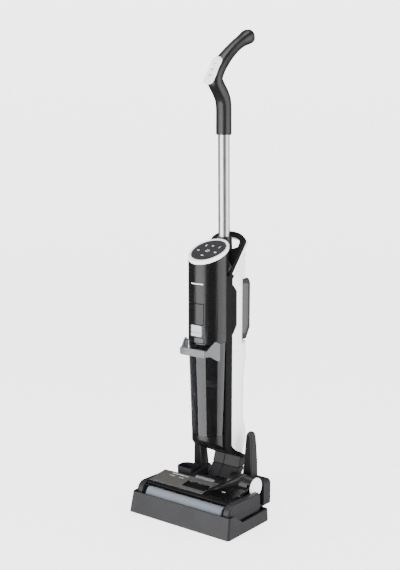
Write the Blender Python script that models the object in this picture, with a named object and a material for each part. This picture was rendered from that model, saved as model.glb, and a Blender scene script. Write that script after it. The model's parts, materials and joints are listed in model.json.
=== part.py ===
"""Upright cordless wet dry floor scrubber, standing in its charging and self-cleaning dock.

Metres, +Z up, -Y is the roller side, +X is the right-hand side seen from the roller side.
Every piece is drawn in the dock's own coordinates, whose zero is the middle of the tray, and
hangs from one empty that puts the middle of the whole machine's footprint at the world's zero.
"""

import math

import bmesh
import bpy
from mathutils import Vector

# ---------------------------------------------------------------- driving dimensions
FRAME_Y = -0.0597            # where the tray's middle lies once the whole machine is centred
GAP = 0.0003                 # between touching pieces
ROUND = 32                   # sides of a large round
SMALL_ROUND = 20             # sides of a small round

# dock
TRAY_HALF_X = 0.144
TRAY_FRONT, TRAY_REAR = -0.079, 0.078
TRAY_TOP = 0.048
TRAY_DRAFT_X, TRAY_DRAFT_Y = 0.003, 0.0095
BAY_HALF_X = 0.1375
BAY_FRONT, BAY_REAR = -0.0655, 0.0742
TROUGH_REAR = -0.012
TROUGH_FLOOR, DECK_FLOOR = 0.012, 0.0205
BASE_FRONT, BASE_REAR = 0.0905, 0.118
BASE_LEFT, BASE_RIGHT, BASE_FOOT_X = -0.0875, 0.120, 0.100
BASE_TOP, BASE_GATE, BASE_GATE_X = 0.082, 0.026, 0.052
INLET = (0.098, 0.046)

# cleaning head
ROLLER_Y, ROLLER_Z, ROLLER_R = -0.040, 0.042, 0.021
ROLLER_HALF = 0.108
CHEEK_IN, CHEEK_OUT = 0.1165, 0.1335
WHEEL_Y, WHEEL_R, WHEEL_X = 0.076, 0.0130, 0.0446
WHEEL_Z = DECK_FLOOR + GAP + WHEEL_R
BARREL_Y, BARREL_Z, BARREL_R = 0.0615, 0.0757, 0.0235
BARREL_LEFT, BARREL_RIGHT, BARREL_CAP_END = 0.052, 0.1160, 0.1202
PULLEY_X0, PULLEY_X1 = 0.1092, 0.1148
MOTOR_PULLEY_R, ROLLER_PULLEY_R = 0.007, 0.0125

# neck
TILT_Y, TILT_Z = 0.088, 0.056
SWIVEL_Y = 0.1165
NECK_HALF = 0.038
NECK_SPLIT = 0.0928

# upright
SPINE_HALF = 0.0465
SPINE_FRONT, SPINE_STEP, SPINE_REAR = 0.0430, 0.0657, 0.0853
SPINE_TOP = 0.558
SOLE_Y, SOLE_Z, SOLE_SLOPE = 0.0549, 0.1455, -0.477
LOOP_FOOT = Vector((0, 0.0615, 0.5605))
LOOP_UP = Vector((0, 0.637, 0.771))
LOOP_OUT = Vector((0, -0.771, 0.637))
LOOP_BEHIND, LOOP_BEFORE = -0.0105, 0.0075
BODY_Y, BODY_FRONT_B, BODY_REAR_B = 0.0385, 0.0455, 0.0430
BODY_A = 0.0465
BODY_BOTTOM = 0.4085
DISPLAY_Z, DISPLAY_SLOPE = 0.615, math.tan(math.radians(25))
BEZEL_WALL = 0.008
TANK_TOP, TANK_BOTTOM = 0.4080, 0.1905
TUBE_Y, TUBE_TOP_Y, TUBE_R = 0.0960, 0.0927, 0.0130
TUBE_FOOT, TUBE_TOP = 0.5655, 0.8845


# ---------------------------------------------------------------- shapes
def arc(centre, radii, start, stop, steps):
    """Points of an elliptical arc in a plane, both ends included; the angles are in degrees."""
    points = []
    for k in range(steps + 1):
        angle = math.radians(start + (stop - start) * k / steps)
        points.append((centre[0] + radii[0] * math.cos(angle), centre[1] + radii[1] * math.sin(angle)))
    return points


def rounded(points, radii, steps=3):
    """A plane outline whose corners are replaced by round fillets of the given radii."""
    if isinstance(radii, float):
        radii = [radii] * len(points)
    out = []
    for i, (corner, radius) in enumerate(zip(points, radii)):
        p, a, b = Vector(corner), Vector(points[i - 1]), Vector(points[(i + 1) % len(points)])
        if radius <= 0:
            out.append(tuple(p))
            continue
        to_a, to_b = (a - p).normalized(), (b - p).normalized()
        half = to_a.angle(to_b) / 2
        reach = radius / math.tan(half)
        centre = p + (to_a + to_b).normalized() * radius / math.sin(half)
        first, last = p + to_a * reach - centre, p + to_b * reach - centre
        start = math.atan2(first.y, first.x)
        sweep = (math.atan2(last.y, last.x) - start + math.pi) % (2 * math.pi) - math.pi
        for k in range(steps + 1):
            angle = start + sweep * k / steps
            out.append((centre.x + radius * math.cos(angle), centre.y + radius * math.sin(angle)))
    return out


def box_outline(u0, u1, v0, v1, radius=0.0, steps=3):
    corners = [(u0, v0), (u1, v0), (u1, v1), (u0, v1)]
    return rounded(corners, radius, steps) if radius else corners


def lift(outline, axis, at):
    """Puts a plane outline into space: its two numbers go to the two axes other than this one."""
    if axis == "X":
        return [Vector((at, u, v)) for u, v in outline]
    if axis == "Y":
        return [Vector((u, at, v)) for u, v in outline]
    return [Vector((u, v, at)) for u, v in outline]


def skin(rings, closed=False):
    """A solid whose side joins rings with equal counts of points.
    The first and last rings are capped, or joined to each other when closed is set."""
    mesh = bmesh.new()
    rows = [[mesh.verts.new(p) for p in ring] for ring in rings]
    pairs = list(zip(rows, rows[1:]))
    if closed:
        pairs.append((rows[-1], rows[0]))
    for low, high in pairs:
        for k in range(len(low)):
            n = (k + 1) % len(low)
            mesh.faces.new((low[k], low[n], high[n], high[k]))
    if not closed:
        mesh.faces.new(rows[0][::-1])
        mesh.faces.new(rows[-1])
    bmesh.ops.recalc_face_normals(mesh, faces=mesh.faces)
    return mesh


def prism(outline, axis, low, high, edge=0.0):
    """A straight extrusion; edge takes a small chamfer off both ends."""
    if not edge:
        return skin([lift(outline, axis, low), lift(outline, axis, high)])
    middle = Vector(((min(u for u, v in outline) + max(u for u, v in outline)) / 2,
                     (min(v for u, v in outline) + max(v for u, v in outline)) / 2))
    span_u = max(u for u, v in outline) - middle.x
    span_v = max(v for u, v in outline) - middle.y
    inner = [(middle.x + (u - middle.x) * (1 - edge / span_u),
              middle.y + (v - middle.y) * (1 - edge / span_v)) for u, v in outline]
    return skin([lift(inner, axis, low), lift(outline, axis, low + edge),
                 lift(outline, axis, high - edge), lift(inner, axis, high)])


def turned(axis, centre, profile, sides=ROUND, bored=False):
    """A turned solid: the profile lists (place along the axis, radius).
    A bored one is a closed profile that stays clear of the axis."""
    rings = [lift(arc(centre, (r, r), 0, 360 - 360 / sides, sides - 1), axis, at) for at, r in profile]
    return skin(rings, closed=bored)


def disc(axis, centre, radius, low, high, edge=0.0, sides=ROUND):
    if not edge:
        return turned(axis, centre, [(low, radius), (high, radius)], sides)
    profile = [(low, radius - edge), (low + edge, radius), (high - edge, radius), (high, radius - edge)]
    return turned(axis, centre, profile, sides)


def pipe(axis, centre, outer, inner, low, high, sides=ROUND):
    profile = [(low, outer), (high, outer), (high, inner), (low, inner)]
    return turned(axis, centre, profile, sides, bored=True)


# ---------------------------------------------------------------- materials and objects
def plastic(name, colour, roughness, metallic=0.0, alpha=1.0):
    material = bpy.data.materials.new(name)
    material.use_nodes = True
    shader = material.node_tree.nodes["Principled BSDF"]
    shader.inputs["Base Color"].default_value = (*colour, 1.0)
    shader.inputs["Roughness"].default_value = roughness
    shader.inputs["Metallic"].default_value = metallic
    shader.inputs["Alpha"].default_value = alpha
    return material


def piece(name, mesh, material, origin=(0, 0, 0)):
    """One named piece. The mesh is in dock coordinates, and the object's origin goes where asked."""
    bmesh.ops.translate(mesh, vec=-Vector(origin), verts=mesh.verts)
    data = bpy.data.meshes.new(name)
    mesh.to_mesh(data)
    mesh.free()
    data.shade_smooth()
    data.set_sharp_from_angle(angle=math.radians(35))
    thing = bpy.data.objects.new(name, data)
    thing.data.materials.append(material)
    thing.location = origin
    thing.parent = machine
    bpy.context.scene.collection.objects.link(thing)
    return thing


def tool(thing, mesh, operation):
    """Cuts a mesh from a piece, or joins it to the piece, with a Boolean that stays on it."""
    data = bpy.data.meshes.new(f"{thing.name}_{operation.lower()}")
    mesh.to_mesh(data)
    mesh.free()
    guide = bpy.data.objects.new(data.name, data)
    guide.parent = machine
    guide.hide_render = True
    guide.display_type = "WIRE"
    bpy.context.scene.collection.objects.link(guide)
    boolean = thing.modifiers.new(operation.lower(), "BOOLEAN")
    boolean.operation = operation
    boolean.solver = "EXACT"
    boolean.object = guide


def cut(thing, mesh):
    tool(thing, mesh, "DIFFERENCE")


def join(thing, mesh):
    tool(thing, mesh, "UNION")


# ---------------------------------------------------------------- dock
def make_tray():
    low = box_outline(-TRAY_HALF_X, TRAY_HALF_X, TRAY_FRONT, TRAY_REAR, 0.007)
    high = box_outline(-TRAY_HALF_X + TRAY_DRAFT_X, TRAY_HALF_X - TRAY_DRAFT_X,
                       TRAY_FRONT + TRAY_DRAFT_Y, TRAY_REAR - 0.0005, 0.007)
    tray = piece("dock_tray", skin([lift(low, "Z", 0.0), lift(high, "Z", TRAY_TOP)]), grey_abs)
    low_side = [(-0.049, TRAY_TOP + 0.01), (-0.049, 0.0465), (-0.0235, 0.0265),
                (0.1, 0.0278), (0.1, TRAY_TOP + 0.01)]
    cut(tray, prism(low_side, "X", -0.16, 0.16))
    bay = box_outline(-BAY_HALF_X, BAY_HALF_X, BAY_FRONT, BAY_REAR, 0.004)
    cut(tray, prism(bay, "Z", DECK_FLOOR, 0.06))
    trough = box_outline(-BAY_HALF_X + 0.002, BAY_HALF_X - 0.002, BAY_FRONT + 0.001, TROUGH_REAR, 0.004)
    cut(tray, prism(trough, "Z", TROUGH_FLOOR, DECK_FLOOR + 0.002))
    wheel_way = box_outline(-BASE_GATE_X, BASE_GATE_X, BAY_REAR - 0.005, TRAY_REAR + 0.01)
    cut(tray, prism(wheel_way, "Z", DECK_FLOOR, TRAY_TOP + 0.01))


def make_rear_base():
    corner = 0.006
    front_view = [(BASE_LEFT, 0.0), (BASE_FOOT_X, 0.0), (BASE_FOOT_X, 0.024), (BASE_RIGHT, 0.024),
                  (BASE_RIGHT, BASE_TOP - corner), (BASE_RIGHT - corner, BASE_TOP),
                  (BASE_GATE_X + 0.004, BASE_TOP), (BASE_GATE_X, BASE_TOP - 0.004), (BASE_GATE_X, BASE_GATE),
                  (-BASE_GATE_X, BASE_GATE), (-BASE_GATE_X, BASE_TOP - 0.004),
                  (-BASE_GATE_X - 0.004, BASE_TOP), (BASE_LEFT + 0.001, BASE_TOP),
                  (BASE_LEFT, BASE_TOP - 0.001)]
    base = piece("dock_rear_base", prism(front_view, "Y", BASE_FRONT, BASE_REAR), grey_abs)
    bridge = box_outline(BASE_LEFT + 0.002, BASE_FOOT_X - 0.002, TRAY_REAR + GAP, BASE_FRONT + 0.004)
    join(base, prism(bridge, "Z", 0.0, DECK_FLOOR))
    cut(base, disc("Y", INLET, 0.0052, BASE_REAR - 0.014, BASE_REAR + 0.01, sides=SMALL_ROUND))
    profile = [(BASE_REAR - 0.0135, 0.0048), (BASE_REAR + 0.0010, 0.0048), (BASE_REAR + 0.0010, 0.0034),
               (BASE_REAR - 0.0135, 0.0034)]
    piece("dock_power_inlet", turned("Y", INLET, profile, SMALL_ROUND, bored=True), black_abs)


def make_post(name, side):
    levels = [(BASE_TOP + GAP, 0.0580, 0.0850, BASE_FRONT, 0.1178),
              (0.120, 0.0622, 0.0848, BASE_FRONT, 0.1165),
              (0.160, 0.0658, 0.0842, BASE_FRONT, 0.1130), (0.181, 0.0672, 0.0835, 0.0910, 0.1098),
              (0.187, 0.0690, 0.0822, 0.0925, 0.1082), (0.1905, 0.0720, 0.0795, 0.0960, 0.1045)]
    rings = []
    for z, x_in, x_out, y0, y1 in levels:
        outline = box_outline(x_in, x_out, y0, y1, 0.003, 2)
        rings.append(lift([(side * x, y) for x, y in outline], "Z", z))
    piece(name, skin(rings), grey_abs)


def make_tool_cup():
    def plan(inset):
        corners = [(-0.0490 - inset, 0.0345 + inset), (-0.0490 - inset, 0.0735 - inset),
                   (-0.0955 + inset, 0.0735 - inset), (-0.0955 + inset, 0.0345 + inset)]
        return rounded(corners, [0.0045, 0.016, 0.018, 0.012], 4)
    wall, floor, rim = 0.0022, 0.0235, 0.0900
    rings = [lift(plan(0.001), "Z", DECK_FLOOR + GAP), lift(plan(0.0), "Z", DECK_FLOOR + 0.0015),
             lift(plan(0.0), "Z", rim), lift(plan(wall), "Z", rim), lift(plan(wall), "Z", floor)]
    piece("dock_tool_cup", skin(rings), dark_abs)


def make_charge_pins():
    for name, x in (("charge_pin_left", -0.012), ("charge_pin_right", 0.012)):
        pin = disc("Z", (x, 0.050), 0.0030, DECK_FLOOR + GAP, 0.0246, 0.0008, SMALL_ROUND)
        piece(name, pin, steel)


# ---------------------------------------------------------------- cleaning head
def cheek_outline(rear):
    top = 0.0712
    corners = [(-0.0630, 0.0260), (-0.0630, top), (rear, top - 0.002), (rear, 0.0260)]
    return rounded(corners, [0.008, 0.0235, 0.009, 0.009], 6)


def make_cheeks():
    for name, side, rear in (("head_cheek_left", -1, 0.0310), ("head_cheek_right", 1, 0.0600)):
        outline = cheek_outline(rear)
        middle = Vector(((rear - 0.063) / 2, 0.0486))
        rings = []
        for x, keep in ((CHEEK_IN, 1.0), (CHEEK_OUT - 0.0060, 1.0), (CHEEK_OUT - 0.0025, 0.965),
                        (CHEEK_OUT - 0.0007, 0.92), (CHEEK_OUT, 0.86)):
            ring = [(middle.x + (u - middle.x) * (1 - (1 - keep) * 0.6), middle.y + (v - middle.y) * keep)
                    for u, v in outline]
            rings.append(lift(ring, "X", side * x))
        cheek = piece(name, skin(rings), grey_abs)
        if side > 0:
            cut(cheek, disc("X", (BARREL_Y, BARREL_Z),
                            BARREL_R + 0.0006, CHEEK_IN - 0.01, BARREL_CAP_END + 0.0006))


def make_chassis():
    section = [(-0.0130, 0.0250), (0.0310, 0.0250), (0.0310, 0.0665), (-0.0100, 0.0640),
               (-0.0155, 0.0560), (-0.0170, 0.0420), (-0.0155, 0.0320)]
    chassis = piece("head_chassis", prism(section, "X", -0.1162, 0.1075), black_abs)
    behind = [(-0.0440, 0.0290), (0.1075, 0.0290), (0.1075, 0.0600), (-0.0440, 0.0600)]
    join(chassis, prism(behind, "Z", 0.0250, 0.0502))
    tongue = [(0.0580, 0.0250), (0.0840, 0.0250), (0.0860, 0.0280), (0.0860, 0.0380), (0.0840, 0.0405),
              (0.0580, 0.0405)]
    join(chassis, prism(tongue, "X", -0.0310, 0.0310))
    cut(chassis, disc("X", (WHEEL_Y, WHEEL_Z), 0.0028, -0.05, 0.05, sides=SMALL_ROUND))
    axle = disc("X", (WHEEL_Y, WHEEL_Z), 0.0022, -0.0512, 0.0512, 0.0004, SMALL_ROUND)
    piece("wheel_axle", axle, steel)


def make_housing():
    """The centre housing: it closes the suction channel and carries the neck's lug between two shoulders."""
    section = [(0.0316, 0.0505), (0.0600, 0.0505), (0.0600, 0.0760), (0.0420, 0.0800), (0.0316, 0.0806)]
    housing = piece("centre_housing", prism(section, "X", -0.0480, 0.0490), grey_abs)
    shoulder = [(0.0320, 0.0600), (0.0860, 0.0560), (0.0882, 0.0620), (0.0882, 0.0835), (0.0860, 0.0852),
                (0.0550, 0.0828), (0.0320, 0.0804)]
    join(housing, prism(shoulder, "X", -0.0482, -0.0388))
    join(housing, prism(shoulder, "X", 0.0388, 0.0492))
    lug = [(0.0560, TILT_Z - 0.0050), (0.0610, TILT_Z - 0.0055), (0.0740, TILT_Z - 0.0110)]
    lug += arc((TILT_Y, TILT_Z), (0.0112, 0.0112), -90, 90, 12)
    lug += [(0.0560, TILT_Z + 0.0112)]
    join(housing, prism(lug, "X", -0.0135, 0.0135))
    cut(housing, disc("X", (TILT_Y, TILT_Z), 0.0036, -0.02, 0.02, sides=SMALL_ROUND))


def make_rear_deck():
    section = [(0.0209, 0.0669), (0.0314, 0.0669), (0.0314, 0.0505), (0.0370, 0.0505), (0.0375, 0.0720),
               (0.0350, 0.0800), (0.0209, 0.0803)]
    deck = piece("rear_deck", prism(section, "X", 0.0504, 0.1075), gloss_black)
    over_belt = [(0.0209, 0.0787), (0.0351, 0.0787), (0.0350, 0.0800), (0.0209, 0.0803)]
    join(deck, prism(over_belt, "X", 0.1070, 0.1158))


def make_barrel():
    """The motor barrel on the right, open towards the housing, with a slot where the belt leaves."""
    tube = pipe("X", (BARREL_Y, BARREL_Z), BARREL_R, BARREL_R - 0.003, BARREL_LEFT, BARREL_RIGHT)
    barrel = piece("motor_barrel", tube, black_abs)
    slot = box_outline(BARREL_Y - 0.030, BARREL_Y + 0.004, BARREL_Z - 0.0255, BARREL_Z + 0.0115)
    cut(barrel, prism(slot, "X", 0.1080, 0.1175))
    cap = [(BARREL_RIGHT + GAP, BARREL_R - 0.0004), (0.1180, BARREL_R - 0.0008), (0.1194, 0.0215),
           (BARREL_CAP_END, 0.0180)]
    piece("barrel_cap", turned("X", (BARREL_Y, BARREL_Z), cap), white_abs)
    body = [(0.0600, 0.0160), (0.1020, 0.0160), (0.1020, 0.0052), (0.1062, 0.0052), (0.1062, 0.0032),
            (0.0600, 0.0032)]
    piece("brush_motor", turned("X", (BARREL_Y, BARREL_Z), body, SMALL_ROUND, bored=True), steel)


def make_belt_drive():
    spindle = [(0.0640, 0.0028), (PULLEY_X0, 0.0028), (PULLEY_X0, MOTOR_PULLEY_R + 0.001),
               (PULLEY_X0 + 0.0005, MOTOR_PULLEY_R), (PULLEY_X1 - 0.0005, MOTOR_PULLEY_R),
               (PULLEY_X1, MOTOR_PULLEY_R + 0.001)]
    pulley = turned("X", (BARREL_Y, BARREL_Z), spindle, SMALL_ROUND)
    piece("motor_pulley", pulley, steel, (0, BARREL_Y, BARREL_Z))
    inner = belt_outline(0.0005)
    outer = belt_outline(0.0020)
    rings = [lift(outer, "X", PULLEY_X0 + 0.0008), lift(outer, "X", PULLEY_X1 - 0.0008),
             lift(inner, "X", PULLEY_X1 - 0.0008), lift(inner, "X", PULLEY_X0 + 0.0008)]
    piece("drive_belt", skin(rings, closed=True), rubber)


def belt_outline(clear):
    """The path of the belt round both pulleys, this far outside their rims."""
    a, b = Vector((ROLLER_Y, ROLLER_Z)), Vector((BARREL_Y, BARREL_Z))
    ra, rb = ROLLER_PULLEY_R + clear, MOTOR_PULLEY_R + clear
    along = b - a
    lean = math.degrees(math.atan2(along.y, along.x))
    spread = math.degrees(math.acos((ra - rb) / along.length))
    big = arc(a, (ra, ra), lean + spread, lean + 360 - spread, 14)
    return big + arc(b, (rb, rb), lean - spread, lean + spread, 8)


def make_roller():
    centre = (ROLLER_Y, ROLLER_Z)
    half = ROLLER_HALF
    shaft = [(-half - 0.0075, 0.0040), (-half - 0.0005, 0.0040), (-half, 0.0160), (half, 0.0160),
             (half + 0.0004, 0.0040), (half + 0.0076, 0.0040)]
    piece("roller_core", turned("X", centre, shaft), dark_abs, (0, *centre))
    edge = 0.0012
    sleeve = [(-half, ROLLER_R - edge), (-half + edge, ROLLER_R), (half - edge, ROLLER_R),
              (half, ROLLER_R - edge),
              (half, 0.0164), (-half, 0.0164)]
    piece("roller_sleeve", turned("X", centre, sleeve, bored=True), fleece, (0, *centre))
    rim = [(PULLEY_X0, ROLLER_PULLEY_R + 0.001), (PULLEY_X0 + 0.0005, ROLLER_PULLEY_R),
           (PULLEY_X1 - 0.0005, ROLLER_PULLEY_R), (PULLEY_X1, ROLLER_PULLEY_R + 0.001),
           (PULLEY_X1, 0.0044), (PULLEY_X0, 0.0044)]
    piece("roller_pulley", turned("X", centre, rim, bored=True), dark_abs, (0, *centre))


def make_wheels():
    for name, x in (("wheel_left", -WHEEL_X), ("wheel_right", WHEEL_X)):
        profile = [(x - 0.0058, 0.0027), (x - 0.0058, WHEEL_R - 0.0012), (x - 0.0046, WHEEL_R),
                   (x + 0.0046, WHEEL_R), (x + 0.0058, WHEEL_R - 0.0012), (x + 0.0058, 0.0027)]
        wheel = turned("X", (WHEEL_Y, WHEEL_Z), profile, SMALL_ROUND, bored=True)
        piece(name, wheel, rubber, (x, WHEEL_Y, WHEEL_Z))


def make_squeegee_and_spray():
    blade = [(-0.0185, 0.0222), (-0.0165, 0.0222), (-0.0176, 0.0300), (-0.0176, 0.0420),
             (-0.0190, 0.0420), (-0.0190, 0.0300)]
    piece("squeegee_blade", prism(blade, "X", -0.1060, 0.1060), rubber)
    bar = box_outline(-0.0182, -0.0122, 0.0650, 0.0682, 0.0010, 2)
    piece("spray_bar", prism(bar, "X", -0.1050, 0.1050), dark_abs)


def window_section():
    """The cover's profile from its front lip over the roller to its rear edge and back underneath."""
    top = [(-0.0528, 0.0642), (-0.0500, 0.0668), (-0.0440, 0.0700), (-0.0380, 0.0728), (-0.0100, 0.0768),
           (0.0205, 0.0800)]
    low = [(0.0205, 0.0740), (-0.0100, 0.0722), (-0.0240, 0.0705), (-0.0380, 0.0672), (-0.0460, 0.0648),
           (-0.0512, 0.0626)]
    return top + low


def make_window():
    cover = piece("window_cover", prism(window_section(), "X", -0.1160, 0.1160), smoked)
    pocket = [(-0.0270, 0.0718), (0.0020, 0.0754), (0.0020, 0.0900), (-0.0270, 0.0900)]
    cut(cover, prism(pocket, "X", -0.0280, 0.0380))
    key = [(0.0213, 0.0692), (0.0308, 0.0692), (0.0308, 0.0815), (0.0290, 0.0832), (0.0235, 0.0822),
           (0.0213, 0.0800)]
    piece("window_latch", prism(key, "X", -0.0265, 0.0250, 0.0006), silver_abs)


# ---------------------------------------------------------------- neck
def sole_z(y):
    """Height of the slanted plane that the upright's underside lies in."""
    return SOLE_Z + SOLE_SLOPE * (y - SOLE_Y)


def make_neck():
    axis = (TILT_Y, TILT_Z)
    side_view = arc(axis, (0.0112, 0.0112), 150, 330, 12)
    side_view += [(0.1260, NECK_SPLIT - 0.006), (0.1260, NECK_SPLIT), (0.1040, NECK_SPLIT)]
    neck = piece("neck_lower", prism(side_view, "X", -NECK_HALF, NECK_HALF, 0.0015), grey_neck, (0, *axis))
    cut(neck, disc("X", axis, 0.0127, -0.0140, 0.0140))
    cut(neck, prism(box_outline(0.0600, TILT_Y, 0.0400, TILT_Z + 0.0127), "X", -0.0140, 0.0140))
    cut(neck, disc("X", axis, 0.0033, -0.05, 0.05, sides=SMALL_ROUND))
    join(neck, disc("Z", (0, SWIVEL_Y), 0.0055, NECK_SPLIT - 0.002, 0.1050, sides=SMALL_ROUND))
    piece("tilt_pin", disc("X", axis, 0.0030, -0.0375, 0.0375, 0.0005, SMALL_ROUND), steel, (0, *axis))
    foot, front, rear = NECK_SPLIT + 0.0007, 0.1125, 0.1330
    upper_view = [(0.1045, foot), (0.1260, foot), (rear, foot + 0.008), (rear, sole_z(rear) - GAP),
                  (front, sole_z(front) - GAP)]
    upper = prism(upper_view, "X", -NECK_HALF, NECK_HALF, 0.0012)
    upper = piece("neck_upper", upper, grey_neck, (0, SWIVEL_Y, foot))
    cut(upper, disc("Z", (0, SWIVEL_Y), 0.0059, 0.09, 0.1055, sides=SMALL_ROUND))


# ---------------------------------------------------------------- upright: spine and rear
def make_spine():
    wall_in = 0.0393
    plan = [(-SPINE_HALF, SPINE_FRONT), (-wall_in, SPINE_FRONT), (-wall_in, 0.0803), (wall_in, 0.0803),
            (wall_in, SPINE_FRONT), (SPINE_HALF, SPINE_FRONT), (SPINE_HALF, SPINE_STEP), (0.0430, SPINE_STEP),
            (0.0430, SPINE_REAR), (-0.0430, SPINE_REAR), (-0.0430, SPINE_STEP), (-SPINE_HALF, SPINE_STEP)]
    spine = piece("spine_frame", prism(plan, "Z", 0.1050, SPINE_TOP), black_abs)
    sole_rear = 0.1340
    sole = [(0.0815, sole_z(0.0815) - 0.01), (sole_rear, sole_z(sole_rear) - 0.01),
            (sole_rear, sole_z(sole_rear) + 0.0095), (SPINE_REAR - 0.001, sole_z(SPINE_REAR) + 0.0105)]
    join(spine, prism(sole, "X", -SPINE_HALF, SPINE_HALF))
    join(spine, carry_loop())
    join(spine, loop_gusset(1))
    join(spine, loop_gusset(-1))
    far = 0.1500
    below = [(0.0300, 0.0900), (0.0300, 0.1750), (0.0426, 0.1730), (0.0438, 0.1620), (0.0470, 0.1545),
             (0.0520, 0.1487), (0.0580, sole_z(0.0580)), (far, sole_z(far)), (far, 0.0900)]
    cut(spine, prism(below, "X", -0.06, 0.06))


def carry_loop():
    """The loop handle: an arch drawn in a plane that leans back from the spine's top."""
    shoulder, crown, low = 0.083, 0.107, -0.006
    outer = [(SPINE_HALF, low), (SPINE_HALF, shoulder * 0.5)]
    outer += arc((0, shoulder), (SPINE_HALF, crown - shoulder), 0, 180, 14)
    outer += [(-SPINE_HALF, shoulder * 0.5), (-SPINE_HALF, low)]
    inner = [(-0.0434, low), (-0.0434, 0.018), (-0.0370, 0.038)]
    inner += arc((0, shoulder - 0.006), (0.0355, crown - shoulder - 0.004), 180, 0, 12)
    inner += [(0.0370, 0.038), (0.0434, 0.018), (0.0434, low)]
    return in_loop_plane(outer + inner, LOOP_BEHIND, LOOP_BEFORE)


def loop_gusset(side):
    """The web that fills the loop's lower corner and leaves the tube and the fingers room."""
    corners = [(0.0445, 0.0140), (0.0205, 0.0380), (0.0205, 0.0600), (0.0370, 0.0680), (0.0445, 0.0720)]
    return in_loop_plane([(side * x, s) for x, s in corners], LOOP_BEHIND + 0.0005, LOOP_BEFORE - 0.0005)


def in_loop_plane(outline, behind, before):
    """A plate in the plane that leans back from the spine's top."""
    return skin([[LOOP_FOOT + LOOP_UP * s + LOOP_OUT * offset + Vector((x, 0, 0)) for x, s in outline]
                 for offset in (behind, before)])


def rear_outline(front, rear):
    """Plan of the white rear: two thin skirts beside the spine, and a rounded back."""
    half, skirt = 0.0458, 0.0434
    side = max(front, 0.0850)
    turn = arc((0.018, side), (half - 0.018, rear - side), 0, 90, 8)
    back = turn + [(-x, y) for x, y in turn[::-1]]
    recess = max(front + 0.0004, SPINE_REAR + 0.0005)
    return [(half, front)] + back + [(-half, front), (-skirt, front), (-skirt, recess), (skirt, recess),
                                     (skirt, front)]


def make_clean_tank():
    front = SPINE_STEP + GAP
    levels = [(0.1100, 0.1230), (0.1200, 0.1330), (0.1380, 0.1410), (0.1550, 0.1475), (0.1680, 0.1500),
              (0.1800, 0.1495), (0.1920, 0.1430), (0.2040, 0.1375), (0.2150, 0.1365), (0.3000, 0.1365),
              (0.3180, 0.1390), (0.3400, 0.1440), (0.3600, 0.1470), (0.3795, 0.1470)]
    tank = piece("clean_tank", skin([lift(rear_outline(front, y), "Z", z) for z, y in levels]), white_abs)
    lift_off = 0.0099
    below = [(0.0500, 0.0900), (0.0500, 0.1760), (0.0655, 0.1740), (0.0664, 0.1630), (0.0690, 0.1570),
             (0.0730, 0.1520), (0.0800, 0.1465), (0.0862, sole_z(0.0862) + lift_off + 0.0010),
             (0.1345, sole_z(0.1345) + lift_off), (0.1800, sole_z(0.1800) + lift_off + 0.0080),
             (0.1800, 0.0900)]
    cut(tank, prism(below, "X", -0.06, 0.06))
    cut(tank, disc("Z", (0, 0.110), 0.0125, 0.3725, 0.39, sides=SMALL_ROUND))
    piece("clean_tank_cap", disc("Z", (0, 0.110), 0.0121, 0.3728, 0.3790, 0.0008, SMALL_ROUND), grey_abs)


def make_rear_shell():
    levels = [(0.3800, SPINE_STEP + GAP, 0.1465), (0.3915, SPINE_STEP + GAP, 0.1465),
              (0.3945, SPINE_STEP + GAP, 0.1280), (0.5400, SPINE_STEP + GAP, 0.1280),
              (0.5480, SPINE_STEP + GAP, 0.1290), (0.5600, 0.0790, 0.1305), (0.5800, 0.0958, 0.1325),
              (0.5985, 0.1110, 0.1340)]
    shell = piece("rear_shell", skin([lift(rear_outline(f, r), "Z", z) for z, f, r in levels]), white_abs)
    join(shell, prism(box_outline(-0.0305, 0.0305, 0.1150, 0.1400, 0.003), "Z", 0.5400, 0.5830))
    cut(shell, prism(box_outline(-0.0312, 0.0312, 0.1000, 0.2000), "Z", 0.3955, 0.5390))
    cut(shell, disc("Z", (0, TUBE_Y), TUBE_R + 0.0007, 0.5650, 0.65))
    cut(shell, prism(box_outline(-0.0135, 0.0135, 0.1300, 0.16), "Z", 0.5520, 0.60))
    latch = [(0.1304, 0.5560), (0.1425, 0.5560), (0.1425, 0.5830), (0.1400, 0.5855), (0.1304, 0.5855)]
    piece("battery_latch", prism(latch, "X", -0.0130, 0.0130, 0.0008), grey_abs)


def make_battery():
    side_view = [(0.1003, 0.3960), (0.1440, 0.3960), (0.1590, 0.4215), (0.1590, 0.5290), (0.1530, 0.5385),
                 (0.1003, 0.5385)]
    piece("battery_pack", prism(side_view, "X", -0.0308, 0.0308, 0.0025), dark_abs)


# ---------------------------------------------------------------- upright: body and dirty tank
def body_section(half, front, inset=0.0, rear_half=0.0388, rear=0.0797, split=True):
    """Plan of the body and the dirty tank: a round front that steps in to pass inside the spine."""
    step = SPINE_FRONT - GAP - 0.0002
    turn = 20
    outline = arc((0, BODY_Y), (half - inset, BODY_Y - front - inset), 180, 360, turn)
    if split:
        corner = 0.010
        wide = rear_half - inset
        deep = rear - inset
        outline += [(half - inset, step - inset), (wide, step - inset + 0.0001)]
        outline += arc((wide - corner, deep - corner), (corner, corner), 0, 90, 4)
        outline += arc((corner - wide, deep - corner), (corner, corner), 90, 180, 4)
        outline += [(-wide, step - inset + 0.0001), (inset - half, step - inset)]
        return outline
    return outline + arc((0, BODY_Y), (half - inset, BODY_REAR_B - inset), 180 / 15, 180 - 180 / 15, 13)


def slanted(outline, drop):
    """The outline lifted to the display's slanted plane, lowered by drop."""
    return [Vector((x, y, DISPLAY_Z - drop + (y - BODY_Y) * DISPLAY_SLOPE)) for x, y in outline]


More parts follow.
